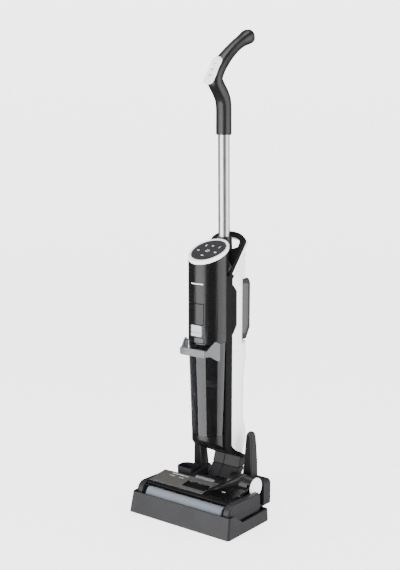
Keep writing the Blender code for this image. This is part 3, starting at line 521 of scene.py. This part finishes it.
def roof_plate(left, right, front, rear, steps=18):
    """A thin plate on the window's roof; left and right give its sides at each place from front to rear."""
    rings = []
    for k in range(steps + 1):
        y = front + (rear - front) * k / steps
        low = roof(y) + PLATE_GAP
        high = low + sizes().trim
        corners = ((left(y), low), (right(y), low), (right(y), high), (left(y), high))
        rings.append([Vector((x, y, z)) for x, z in corners])
    return loft(rings)


def rib_line(y):
    """Middle of the rib, from its nose on the window to the barrel."""
    return RIB_NOSE_X + (y - RIB_NOSE_Y) * RIB_SLANT


def rib(front, rear, steps=14):
    """The rib that runs up from the window to the motor barrel, with a rounded top."""
    rings = []
    for k in range(steps + 1):
        y = front + (rear - front) * k / steps
        climb = (y - RIB_NOSE_Y) / RIB_RUN
        top = RIB_FOOT + RIB_RISE * climb ** 0.9
        base = roof(min(y, 0.0205)) + 0.0003 if y < 0.0207 else 0.0775
        half = 0.0068 * min(1.0, 0.25 + 6.0 * climb) + 0.0015 * climb
        crown = [(half, 0.0), (half, 0.55), (half * 0.86, 0.88), (half * 0.5, 1.0), (-half * 0.5, 1.0),
                 (-half * 0.86, 0.88), (-half, 0.55), (-half, 0.0)]
        rise = max(top - base, 0.0006)
        rings.append([Vector((rib_line(y) + u, y, base + rise * v)) for u, v in crown])
    return loft(rings)


def roller_pile():
    """The fleece sleeve with its tufts standing in a shallow spiral."""
    half, across, around = SLEEVE_HALF, 190, 84
    rings = []
    for i in range(across + 1):
        x = -half + 2 * half * i / across
        ends = min(1.0, (half - abs(x)) / 0.0012)
        ring = []
        for j in range(around):
            turn = 2 * math.pi * j / around
            tuft = noise.noise(Vector((x * 420, math.cos(turn) * 9, math.sin(turn) * 9)))
            wave = math.sin(x * 330 + turn * 3)
            r = PILE_RADIUS - 0.0009 * (1 - ends) + sizes().pile * ends * (0.55 * tuft + 0.15 * wave)
            ring.append(Vector((x, ROLLER_AXLE[0] + r * math.cos(turn), ROLLER_AXLE[1] + r * math.sin(turn))))
        rings.append(ring)
    circle = arc(ROLLER_AXLE, (SLEEVE_BORE, SLEEVE_BORE), 0, 360 - 360 / around, around - 1)
    bore = [lift(circle, "X", x) for x in (half, -half)]
    return loft(rings + bore, closed=True)


def roller_hub():
    """The ribbed wheel at the roller's free end."""
    outline = []
    for k in range(18):
        for turn, r in ((0, 0.0150), (5, 0.0166), (12, 0.0166), (16, 0.0150)):
            outline += arc(ROLLER_AXLE, (r, r), 20 * k + turn, 20 * k + turn, 1)[:1]
    return slab(outline, "X", -0.1152, -0.1086)


def make_head():
    recast("head_cheek_left", grey_abs(), edge=0.0012)
    recast("head_cheek_right", grey_abs(), edge=0.0012)
    recast("head_chassis", black_abs(), edge=0.0006)
    recast("centre_housing", grey_abs(), edge=0.0011)
    recast("rear_deck", piano_black(), edge=0.0006)
    recast("motor_barrel", black_abs(), edge=0.0009)
    recast("barrel_cap", white_abs(), edge=0.0008)
    recast("squeegee_blade", rubber(), edge=0.0002)
    recast("spray_bar", dark_abs(), edge=0.0003)
    for name in ("wheel_left", "wheel_right"):
        recast(name, rubber(), edge=0.0004)
    added("rib_rear", rib(0.0209, 0.0600), black_abs(), "motor_barrel", 0.0004)


def make_roller():
    thing = solid("roller_fleece", roller_pile())
    soften(thing, 0.0, sharp=60)
    wear(thing, fleece(), "roller_sleeve")
    recast("roller_core", dark_abs(), edge=0.0004)
    recast("roller_pulley", dark_abs(), edge=0.0003)
    added("roller_hub", roller_hub(), dark_abs(), "roller_core", 0.0003)


def make_window():
    recast("window_cover", smoked_clear(), edge=0.0006)
    split, half_rib = RIB_NOSE_Y - 0.0005, 0.0072
    left_end = 0.0402

    def left_edge(y):
        over = max(0.0, y - (PLATE_REAR - PLATE_CORNER))
        return PLATE_LEFT + PLATE_CORNER - math.sqrt(max(0.0, PLATE_CORNER ** 2 - over ** 2))

    def left_inner(y):
        return left_end if y < split else rib_line(y) - half_rib

    def right_inner(y):
        return 0.0425 if y < split else rib_line(y) + half_rib

    # the left-hand plate is painted a lighter grey than the black right-hand plate: a painted reflection of
    # the light from the left
    plate = solid("top_plate_left", roof_plate(left_edge, left_inner, PLATE_FRONT, PLATE_REAR))
    carve(plate, slab(rectangle(-0.0282, 0.0384, -0.0272, 0.0022, 0.003), "Z", 0.0700, 0.0900))
    soften(plate, 0.0)
    wear(plate, left_plate_reflection_finish(), "window_cover", stands_for=False)
    floor = []
    for y, low in ((-0.0266, 0.0719), (0.0016, 0.0754)):
        section = rectangle(-0.0276, 0.0376, low, low + 0.0004)
        floor.append([Vector((x, y, z)) for x, z in section])
    added("slot_floor", loft(floor), etched_black_and_painted_shade(), "window_cover")

    def left_side(y):
        return PLATE_LEFT

    def right_side(y):
        return PLATE_RIGHT

    def highlight_end(y):
        return left_end

    added("top_plate_right", roof_plate(right_inner, right_side, PLATE_FRONT, PLATE_REAR), piano_black(),
          "window_cover")
    # a pale strip on the left of the window's front slope: a painted highlight, standing for the light from
    # the left mirrored there
    added("window_painted_highlight", roof_plate(left_side, highlight_end, -0.0394, -0.0374), haze_and_painted_highlight(),
          "window_cover")
    added("window_visor", roof_plate(left_side, right_side, -0.0475, -0.0398), piano_black(),
          "window_cover")
    added("rib_nose", rib(RIB_NOSE_Y, 0.0203), black_abs(), "window_cover", 0.0004)
    # plain bars in the place of markings, each with its left, right, front and rear edge
    bars = [(-0.085, -0.040, 0.0120, 0.0132), (-0.086, -0.070, 0.0010, 0.0018),
            (-0.058, -0.044, 0.0010, 0.0018), (0.0740, 0.0840, -0.0100, -0.0088)]
    marks = []
    for x0, x1, y0, y1 in bars:
        z = roof(y0) + PLATE_GAP + sizes().trim
        marks.append(slab(rectangle(x0, x1, y0, y1, 0.0004), "Z", z - 0.0002, z + 0.0003))
    added("top_plate_marks", merged(marks), print_ink(), "window_cover")
    recast("window_latch", silver_lacquer(), edge=0.0009)


# ---------------------------------------------------------------- neck
def neck_groove(line, x, depth=0.0016):
    """A cutter for an upright groove that follows the neck's front face."""
    (y0, z0), (y1, z1) = line
    out = Vector((z0 - z1, y1 - y0)).normalized() * 0.004
    into = -out.normalized() * depth
    outline = [(y0 + into.x, z0 + into.y), (y1 + into.x, z1 + into.y), (y1 + out.x, z1 + out.y),
               (y0 + out.x, z0 + out.y)]
    return slab(outline, "X", x - 0.0007, x + 0.0007)


def make_neck():
    lower = neck_groove([(0.0783, 0.0616), (0.1040, 0.0928)], -0.0065)
    upper = neck_groove([(0.1040, 0.0920), (0.1130, 0.1200)], -0.0065)
    recast("neck_lower", grey_abs(), edge=0.0013, cuts=[lower])
    recast("neck_upper", grey_abs(), edge=0.0013, cuts=[upper])


# ---------------------------------------------------------------- body, display and front panel
def wrap(x0, x1, low, high, inner, outer, steps=16):
    """A patch that follows the body's round front. Low and high are its heights, or pairs of them for its
    two ends; inner and outer say how far it stands proud of the body."""
    low = low if isinstance(low, tuple) else (low, low)
    high = high if isinstance(high, tuple) else (high, high)
    start, stop = -math.acos(x0 / BODY_HALF_X), -math.acos(x1 / BODY_HALF_X)
    rings = []
    for k in range(steps + 1):
        t = k / steps
        turn = start + (stop - start) * t
        z0, z1 = low[0] + (low[1] - low[0]) * t, high[0] + (high[1] - high[0]) * t
        ring = []
        for proud, z in ((inner, z0), (outer, z0), (outer, z1), (inner, z1)):
            ring.append(Vector(((BODY_HALF_X + proud) * math.cos(turn),
                                BODY_Y + (BODY_HALF_Y + proud) * math.sin(turn), z)))
        rings.append(ring)
    return loft(rings)


def on_display(outline, low, high):
    """A thin shape on the display's slanted face, from an outline in that face's own two directions."""
    out = Vector((0, -math.sin(DISPLAY_LEAN), math.cos(DISPLAY_LEAN)))
    up = Vector((0, math.cos(DISPLAY_LEAN), math.sin(DISPLAY_LEAN)))
    middle = Vector((0, BODY_Y, DISPLAY_Z)) - out * 0.0005
    return loft([[middle + Vector((u, 0, 0)) + up * v + out * at for u, v in outline] for at in (low, high)])


def ring_mark(centre, radius, width, start=0, stop=360):
    outer = arc(centre, (radius, radius), start, stop, 24)
    inner = arc(centre, (radius - width, radius - width), stop, start, 24)
    return outer + inner


def display_icons():
    """Plain pictograms: a drop, a leaf, a stroke, two pills, a power ring and a bar."""
    drop = arc((-0.0179, 0.0145), (0.0022, 0.0020), 200, 340, 10) + [(-0.0179, 0.0192)]
    leaf = arc((0.0030, 0.0135), (0.0045, 0.0045), 95, 175, 8)
    leaf += arc((-0.0012, 0.0180), (0.0045, 0.0045), 275, 355, 8)
    stroke = [(0.0195, 0.0100), (0.0206, 0.0100), (0.0226, 0.0165), (0.0215, 0.0165)]
    pill_left = rectangle(-0.0285, -0.0225, -0.0077, -0.0050, 0.0012)
    pill_right = rectangle(0.0198, 0.0262, -0.0098, -0.0070, 0.0012)
    power = ring_mark((-0.0010, -0.0046), 0.0048, 0.0009, 110, 430)
    power_bar = rectangle(-0.0015, -0.0005, -0.0050, -0.0008)
    bar = rectangle(-0.0054, 0.0010, -0.0258, -0.0232, 0.0008)
    return [on_display(shape, -0.0001, 0.00025)
            for shape in (drop, leaf, stroke, pill_left, pill_right, power, power_bar, bar)]


def make_body():
    seam, depth = sizes().seam, sizes().seam_depth
    low, high = 0.4000, 0.4992                    # foot and top of the pocket in the body's front
    left, right = -0.0156, 0.0183
    pocket = wrap(left, right, low, high, -0.0010, 0.0050)
    side_seam = wrap(0.0186, 0.0464, (0.4455, 0.4300), (0.4455 + seam, 0.4300 + seam), -depth, 0.0050)
    recast("body_shell", piano_black(), edge=0.0005, cuts=[pocket, side_seam])
    surround = []
    for foot, top in ((low + 0.0002, 0.4212), (0.4504, high - 0.0002)):
        surround.append(wrap(left + 0.0001, right - 0.0001, foot, top, -0.0013, -0.0008))
    added("front_panel_surround", merged(surround), etched_black_and_painted_shade(), "body_shell")
    panel = wrap(left + 0.0010, right - 0.0011, 0.4512, high - 0.0017, -0.0016, -0.0001)
    added("front_panel", panel, piano_black(), "body_shell", 0.0003)
    step = wrap(-0.0060, right - 0.0011, 0.4095, 0.4205, -0.0016, 0.0004)
    added("front_panel_step", step, mid_grey_abs(), "body_shell", 0.0003)
    strip = wrap(-0.0160, 0.0165, 0.5418, 0.5440, -0.0003, 0.00018)
    added("plain_label_strip", strip, print_ink(), "body_shell")
    ledge_gap = slab(rectangle(-0.02, 0.02, 0.4316, 0.4352), "Y", -0.012, -0.0068)
    recast("release_button", silver_lacquer(), edge=0.0007, cuts=[ledge_gap])
    recast("bezel_ring", white_abs(), edge=0.0012, segments=3)
    recast("display_panel", display_acrylic(), edge=0.0003)
    added("display_icons", merged(display_icons()), print_ink(), "display_panel")


# ---------------------------------------------------------------- tank
def tank_handle():
    """The strap handle: a bar in front of the tank that widens into two wings along its sides."""
    # across, front to rear, lower edge and upper edge, from a wing's end to the bar
    half = [(0.0450, 0.0190, 0.3692, 0.4080), (0.0436, 0.0120, 0.3702, 0.4128),
            (0.0424, 0.0062, 0.3735, 0.4140), (0.0400, -0.0020, 0.3790, 0.4085),
            (0.0375, -0.0100, 0.3822, 0.4010), (0.0345, -0.0170, 0.3822, 0.3962),
            (0.0285, -0.0228, 0.3818, 0.3985)]
    path = smooth(half + [(-x, y, low, high) for x, y, low, high in half[::-1]], 5)
    rings = []
    for k, (x, y, low, high) in enumerate(path):
        before, after = path[max(k - 1, 0)], path[min(k + 1, len(path) - 1)]
        along = Vector((after[0] - before[0], after[1] - before[1])).normalized()
        out = Vector((-along.y, along.x, 0)) * 0.0015
        middle = Vector((x, y, 0))
        ring = []
        for side, z in ((-1, low + 0.0008), (-0.5, low), (0.5, low), (1, low + 0.0008), (1, high - 0.0008),
                        (0.5, high), (-0.5, high), (-1, high - 0.0008)):
            ring.append(middle + out * side + Vector((0, 0, z)))
        rings.append(ring)
    return loft(rings)


def level_nubs():
    """Small moulded marks on the front of the tank that show how full it is."""
    foot, height = 0.1905, 0.2175                 # the tank widens and leans forward from its foot up
    nubs = []
    for x, z in ((-0.0100, 0.2880), (0.0100, 0.2960), (0.0185, 0.3020), (0.0095, 0.2080)):
        share = (z - foot) / height
        half = 0.0405 + 0.0057 * share
        front = 0.0035 - 0.0101 * share
        reach = BODY_Y - front
        y = BODY_Y - reach * math.sqrt(1 - (x / half) ** 2)
        profile = [(y - 0.0007, 0.0007), (y - 0.0005, 0.0013), (y + 0.0004, 0.0015)]
        nubs.append(turned("Y", (x, z), profile, 16))
    return merged(nubs)


def make_tank():
    recast("dirty_tank", smoked_clear(), edge=0.0)
    recast("tank_base_cap", piano_black(), edge=0.0012)
    recast("tank_lid", dark_abs(), edge=0.0005)
    recast("riser_tube", dark_abs(), edge=0.0)
    recast("tank_float", white_abs(), edge=0.0)
    recast("tank_filter", dark_abs(), edge=0.0003)
    added("tank_level_nubs", level_nubs(), haze_and_painted_highlight(), "dirty_tank")
    thing = solid("tank_handle_strap", tank_handle())
    soften(thing, 0.0, sharp=50)
    wear(thing, haze_and_painted_highlight(), "tank_handle")


# ---------------------------------------------------------------- spine, loop and rear
def loop_lining():
    """The white under-layer of the carry loop, a hair wider than the black layer on top of it."""
    shoulder, crown, low, over = 0.083, 0.107, 0.002, 0.0005
    outer = [(0.0465 + over, low), (0.0465 + over, shoulder * 0.5)]
    outer += arc((0, shoulder), (0.0465 + over, crown - shoulder + over), 0, 180, 30)
    outer += [(-0.0465 - over, shoulder * 0.5), (-0.0465 - over, low)]
    inner = [(-0.0434 + over, low), (-0.0434 + over, 0.018), (-0.0370 + over, 0.038)]
    inner += arc((0, shoulder - 0.006), (0.0355 - over, crown - shoulder - 0.004 - over), 180, 0, 28)
    inner += [(0.0370 - over, 0.038), (0.0434 - over, 0.018), (0.0434 - over, low)]
    return loft([[LOOP_FOOT + LOOP_UP * s + LOOP_OUT * at + Vector((x, 0, 0)) for x, s in outer + inner]
                 for at in (-0.0112, -0.0020)])


def side_notch(side):
    """The black inlay beside the spine on the white shell."""
    outline = [(0.0664, 0.5360), (0.0700, 0.5330), (0.0824, 0.5190), (0.0830, 0.4410), (0.0690, 0.4220),
               (0.0664, 0.4200)]
    return slab(fillet(outline, 0.0015), "X", side * 0.0452, side * 0.0463)


def make_rear():
    recast("spine_frame", etched_black_and_painted_shade(), edge=0.0008)
    seam = sizes().seam
    sides = [slab([(0.0835, 0.4430), (0.1270, 0.4440), (0.1270, 0.4440 + seam), (0.0835, 0.4430 + seam)], "X",
                  side * 0.0453, side * 0.0500) for side in (-1, 1)]
    recast("rear_shell", white_abs(), edge=0.0010, cuts=sides)
    recast("clean_tank", white_abs(), edge=0.0012)
    recast("clean_tank_cap", grey_abs(), edge=0.0004)
    added("carry_loop_lining", loop_lining(), white_abs(), "rear_shell", 0.0008)
    for side, name in ((-1, "side_notch_left"), (1, "side_notch_right")):
        added(name, side_notch(side), etched_black_and_painted_shade(), "rear_shell", 0.0003)


def make_battery():
    recast("battery_pack", dark_abs(), edge=0.0014)
    outline = fillet([(0.1190, 0.4110), (0.1370, 0.4110), (0.1470, 0.4280), (0.1470, 0.5230),
                      (0.1430, 0.5280), (0.1190, 0.5280)], 0.003)
    panels = [slab(outline, "X", side * 0.0300, side * 0.0312) for side in (-1, 1)]
    added("battery_side_panels", merged(panels), mid_grey_abs(), "battery_pack", 0.0003)
    recast("battery_latch", pale_grey_abs(), edge=0.0009)
    top = slab(rectangle(-0.0122, 0.0122, 0.1310, 0.1418, 0.002), "Z", 0.5845, 0.5859)
    added("battery_latch_pad", top, grey_abs(), "battery_latch", 0.0003)


# ---------------------------------------------------------------- tube and grip
def make_tube():
    rings = []
    foot, top = 0.5655, 0.8845
    for radius, z in ((0.0130, foot), (0.0130, top), (0.0115, top), (0.0115, foot)):
        y = 0.0960 - 0.0033 * (z - foot) / (top - foot)
        rings.append(lift(arc((0, y), (radius, radius), 0, 360 - 360 / 72, 71), "Z", z))
    thing = solid("drawn_tube", loft(rings, closed=True))
    soften(thing, 0.0)
    wear(thing, aluminium(), "handle_tube")
    recast("tube_socket", black_abs(), edge=0.0008)


def plate_point(across, along, proud):
    """A place on the control plate: across it, up along it, and out from its face."""
    return PLATE_MIDDLE + Vector((across, 0, 0)) + PLATE_UP * along + PLATE_OUT * proud


def on_plate(outline, low, high):
    """A thin shape on the control plate, from an outline in the plate's own two directions."""
    return loft([[plate_point(u, v, at) for u, v in outline] for at in (low, high)])


def plate_outline(half_width, half_length):
    return rectangle(-half_width, half_width, -half_length, half_length, half_width * 0.9)


def grip_sweep():
    """The grip: sections along a curve that kinks forward at the control plate, then curls up and back."""
    path = smooth([(0.0927, 0.8680, 0.0152), (0.0927, 0.8705, 0.0166), (0.0926, 0.9000, 0.0166),
                   (0.0922, 0.9250, 0.0166), (0.0900, 0.9420, 0.0167), (0.0825, 0.9565, 0.0166),
                   (0.0690, 0.9730, 0.0163), (0.0600, 0.9850, 0.0165), (0.0620, 0.9980, 0.0162),
                   (0.0720, 1.0130, 0.0158), (0.0870, 1.0280, 0.0148), (0.1110, 1.0470, 0.0132),
                   (0.1370, 1.0640, 0.0128), (0.1610, 1.0760, 0.0138), (0.1780, 1.0832, 0.0162),
                   (0.1885, 1.0870, 0.0152), (0.1955, 1.0895, 0.0090)], 4)
    rings = []
    for k, (y, z, radius) in enumerate(path):
        before, after = path[max(k - 1, 0)], path[min(k + 1, len(path) - 1)]
        along = Vector((after[0] - before[0], after[1] - before[1])).normalized()
        up = Vector((0, -along.y, along.x))
        ring = []
        for u, v in arc((0, 0), (1, 1), 0, 360 - 7.5, 47):
            fuller = (abs(u) ** 2.5 + abs(v) ** 2.5) ** -0.4      # a slightly squared circle
            ring.append(Vector((radius * 0.98 * u * fuller, y, z)) + up * radius * v * fuller)
        rings.append(ring)
    return loft(rings)


def make_grip():
    grip = solid("grip_moulding", grip_sweep())
    carve(grip, on_plate(plate_outline(0.0124, 0.0354), -0.0043, 0.0300))
    carve(grip, turned("Z", (0, 0.0927), [(0.8600, 0.0135), (0.8860, 0.0135)]))
    soften(grip, 0.0, sharp=45)
    wear(grip, black_abs(), "grip_shell")
    plate = solid("control_plate_moulding", on_plate(plate_outline(0.0120, 0.0350), -0.0040, 0.0012))
    for place in BUTTON_PLACES:
        carve(plate, on_plate(arc((0, place), (0.0045, 0.0045), 0, 345, 23), -0.01, 0.01))
    soften(plate, 0.0006)
    wear(plate, white_abs(), "control_plate")
    edges = []
    for half_width, half_length, proud in ((0.0112, 0.0340, 0.0010), (0.0112, 0.0340, 0.0013),
                                           (0.0107, 0.0335, 0.0013), (0.0107, 0.0335, 0.0010)):
        edges.append([plate_point(u, v, proud) for u, v in plate_outline(half_width, half_length)])
    added("control_plate_line", loft(edges, closed=True), pale_grey_abs(), "control_plate")
    ring, dot, bar = BUTTON_PLACES
    marks = [ring_mark((0, ring), 0.0030, 0.0012), arc((0, dot), (0.0022, 0.0022), 0, 345, 23),
             rectangle(-0.0028, 0.0028, bar - 0.0007, bar + 0.0007)]
    for number, mark in enumerate(marks, 1):
        name = f"grip_button_{number}"
        recast(name, white_abs(), edge=0.0005)
        added(f"{name}_mark", on_plate(mark, 0.0020, 0.00235), dark_abs(), name)


def dress_inner_parts():
    """Finishes for the pieces inside, which keep the shapes of the frame."""
    inner = {"brush_motor": steel, "motor_pulley": steel, "drive_belt": rubber, "wheel_axle": steel,
             "tilt_pin": steel, "suction_motor": steel, "suction_fan": silver_lacquer, "water_pump": dark_abs,
             "control_board": solder_mask}
    for name, material in inner.items():
        data = frame["nodes"][name].data
        data.materials.clear()
        data.materials.append(material())


# ---------------------------------------------------------------- studio
def make_backdrop():
    """A round pale floor that curves up into a wall, so that no corner or horizon shows."""
    radius, wall, turn, sides = 5.0, 4.0, 1.6, 96
    profile = [(0.001, 0.0), (radius - turn, 0.0)]
    profile += [(radius - turn + u, v) for u, v in arc((0, turn), (turn, turn), 270, 360, 12)[1:]]
    profile += [(radius, wall)]
    mesh = bmesh.new()
    rows = []
    for reach, z in profile:
        rows.append([mesh.verts.new((reach * math.cos(a), reach * math.sin(a), z - 0.0002))
                     for a in (2 * math.pi * k / sides for k in range(sides))])
    for low, high in zip(rows, rows[1:]):
        for k in range(sides):
            n = (k + 1) % sides
            mesh.faces.new((low[k], low[n], high[n], high[k]))
    mesh.faces.new(rows[0])
    bmesh.ops.recalc_face_normals(mesh, faces=mesh.faces)
    backdrop = solid("studio_backdrop", mesh, shift=False)
    backdrop.data.shade_smooth()
    # matt painted screen, lit from behind: an even, nearly white ground
    paint = finish("painted_backdrop", colours().backdrop, 0.8, 30.0, 0.02, mottle=0.004,
                   Emission_Color=(1, 1, 1, 1), Emission_Strength=2.4)
    backdrop.data.materials.append(paint)
    backdrop.visible_glossy = False              # the blacks mirror the softboxes and the dark air only
    backdrop.visible_shadow = False              # the softboxes reach below the floor


def towards(turn, rise):
    """The direction of a place that lies to the right of the roller side by a turn, and up by a rise."""
    return Vector((math.sin(turn) * math.cos(rise), -math.cos(turn) * math.cos(rise), math.sin(rise)))


def make_softbox(name, azimuth, elevation, reach, size, power):
    """An area light that looks at the machine's middle, from an azimuth to the right of the roller side."""
    away = towards(math.radians(azimuth), math.radians(elevation))
    data = bpy.data.lights.new(name, "AREA")
    data.shape = "RECTANGLE"
    data.size, data.size_y = size
    data.energy = power
    lamp = bpy.data.objects.new(name, data)
    lamp.location = ZERO + LIT_MIDDLE + away * reach
    lamp.visible_camera = False
    lamp.rotation_euler = away.to_track_quat("Z", "Y").to_euler()
    bpy.context.scene.collection.objects.link(lamp)


def make_studio():
    studio = bpy.context.scene.scrubber_studio
    make_backdrop()
    make_softbox("softbox_left", -14, -2, 2.0, (2.2, 2.6), studio.key)
    make_softbox("softbox_right", 113, -2, 2.0, (2.3, 2.6), studio.rim)
    make_softbox("softbox_top", 20, 82, 2.6, (2.2, 2.2), studio.top)
    world = bpy.data.worlds.new("studio_air")
    world.use_nodes = True
    air = world.node_tree.nodes["Background"]
    air.inputs["Color"].default_value = (1, 1, 1, 1)
    air.inputs["Strength"].default_value = studio.fill
    bpy.context.scene.world = world

    away = towards(studio.azimuth, studio.elevation)
    data = bpy.data.cameras.new("camera")
    data.lens = studio.lens
    camera = bpy.data.objects.new("camera", data)
    camera.location = ZERO + LOOKED_AT + away * studio.distance
    camera.rotation_euler = away.to_track_quat("Z", "Y").to_euler()
    bpy.context.scene.collection.objects.link(camera)
    bpy.context.scene.camera = camera


# ---------------------------------------------------------------- operators and panel
class SCRUBBER_OT_dock(bpy.types.Operator):
    """Draw the charging dock: tray, rear base, posts, cup, inlet and pins"""
    bl_idname = "scrubber.dock"
    bl_label = "Charging dock"

    def execute(self, context):
        make_dock()
        return {"FINISHED"}


class SCRUBBER_OT_head(bpy.types.Operator):
    """Draw the cleaning head: cheeks, housing, motor barrel, wheels and rib"""
    bl_idname = "scrubber.head"
    bl_label = "Cleaning head"

    def execute(self, context):
        make_head()
        return {"FINISHED"}


class SCRUBBER_OT_roller(bpy.types.Operator):
    """Draw the roller with its fleece, core and hub"""
    bl_idname = "scrubber.roller"
    bl_label = "Roller"

    def execute(self, context):
        make_roller()
        return {"FINISHED"}


class SCRUBBER_OT_window(bpy.types.Operator):
    """Draw the roller window with its top plates and latch"""
    bl_idname = "scrubber.window"
    bl_label = "Roller window"

    def execute(self, context):
        make_window()
        return {"FINISHED"}


class SCRUBBER_OT_neck(bpy.types.Operator):
    """Draw the two blocks of the tilting neck"""
    bl_idname = "scrubber.neck"
    bl_label = "Neck"

    def execute(self, context):
        make_neck()
        return {"FINISHED"}


class SCRUBBER_OT_body(bpy.types.Operator):
    """Draw the body shell, front panel, bezel and display"""
    bl_idname = "scrubber.body"
    bl_label = "Body and display"

    def execute(self, context):
        make_body()
        return {"FINISHED"}


class SCRUBBER_OT_tank(bpy.types.Operator):
    """Draw the dirty-water tank with its handle and inner parts"""
    bl_idname = "scrubber.tank"
    bl_label = "Dirty-water tank"

    def execute(self, context):
        make_tank()
        return {"FINISHED"}


class SCRUBBER_OT_rear(bpy.types.Operator):
    """Draw the spine, the carry loop, the rear shell and the clean-water tank"""
    bl_idname = "scrubber.rear"
    bl_label = "Spine and rear"

    def execute(self, context):
        make_rear()
        return {"FINISHED"}


class SCRUBBER_OT_battery(bpy.types.Operator):
    """Draw the battery pack and its latch"""
    bl_idname = "scrubber.battery"
    bl_label = "Battery"

    def execute(self, context):
        make_battery()
        return {"FINISHED"}


class SCRUBBER_OT_handle(bpy.types.Operator):
    """Draw the tube, the grip, the control plate and its buttons"""
    bl_idname = "scrubber.handle"
    bl_label = "Tube and grip"

    def execute(self, context):
        make_tube()
        make_grip()
        return {"FINISHED"}


class SCRUBBER_OT_inner(bpy.types.Operator):
    """Finish the motors, pulleys, belt, pins, pump and board inside"""
    bl_idname = "scrubber.inner"
    bl_label = "Inner parts"

    def execute(self, context):
        dress_inner_parts()
        return {"FINISHED"}


class SCRUBBER_OT_studio(bpy.types.Operator):
    """Set up the pale backdrop, the softboxes and the camera"""
    bl_idname = "scrubber.studio"
    bl_label = "Studio"

    def execute(self, context):
        make_studio()
        return {"FINISHED"}


STEPS = (SCRUBBER_OT_dock, SCRUBBER_OT_head, SCRUBBER_OT_roller, SCRUBBER_OT_window, SCRUBBER_OT_neck,
         SCRUBBER_OT_body, SCRUBBER_OT_tank, SCRUBBER_OT_rear, SCRUBBER_OT_battery, SCRUBBER_OT_handle,
         SCRUBBER_OT_inner, SCRUBBER_OT_studio)


class SCRUBBER_PT_panel(bpy.types.Panel):
    """Lists the sizes, the colours and the steps"""
    bl_idname = "SCRUBBER_PT_panel"
    bl_label = "Floor scrubber"
    bl_space_type = "VIEW_3D"
    bl_region_type = "UI"
    bl_category = "Scrubber"

    def draw(self, context):
        for group in (context.scene.scrubber_sizes, context.scene.scrubber_colours,
                      context.scene.scrubber_studio):
            box = self.layout.box()
            for name in group.__annotations__:
                box.prop(group, name)
        for step in STEPS:
            self.layout.operator(step.bl_idname)


CLASSES = (ScrubberColours, ScrubberSizes, ScrubberStudio, *STEPS, SCRUBBER_PT_panel)


def register():
    for cls in CLASSES:
        bpy.utils.register_class(cls)
    bpy.types.Scene.scrubber_colours = PointerProperty(type=ScrubberColours)
    bpy.types.Scene.scrubber_sizes = PointerProperty(type=ScrubberSizes)
    bpy.types.Scene.scrubber_studio = PointerProperty(type=ScrubberStudio)


def unregister():
    for name in ("scrubber_colours", "scrubber_sizes", "scrubber_studio"):
        delattr(bpy.types.Scene, name)
    for cls in reversed(CLASSES):
        bpy.utils.unregister_class(cls)


def main():
    register()
    for step in STEPS:
        group, name = step.bl_idname.split(".")
        getattr(getattr(bpy.ops, group), name)()


if __name__ == "__main__":
    main()
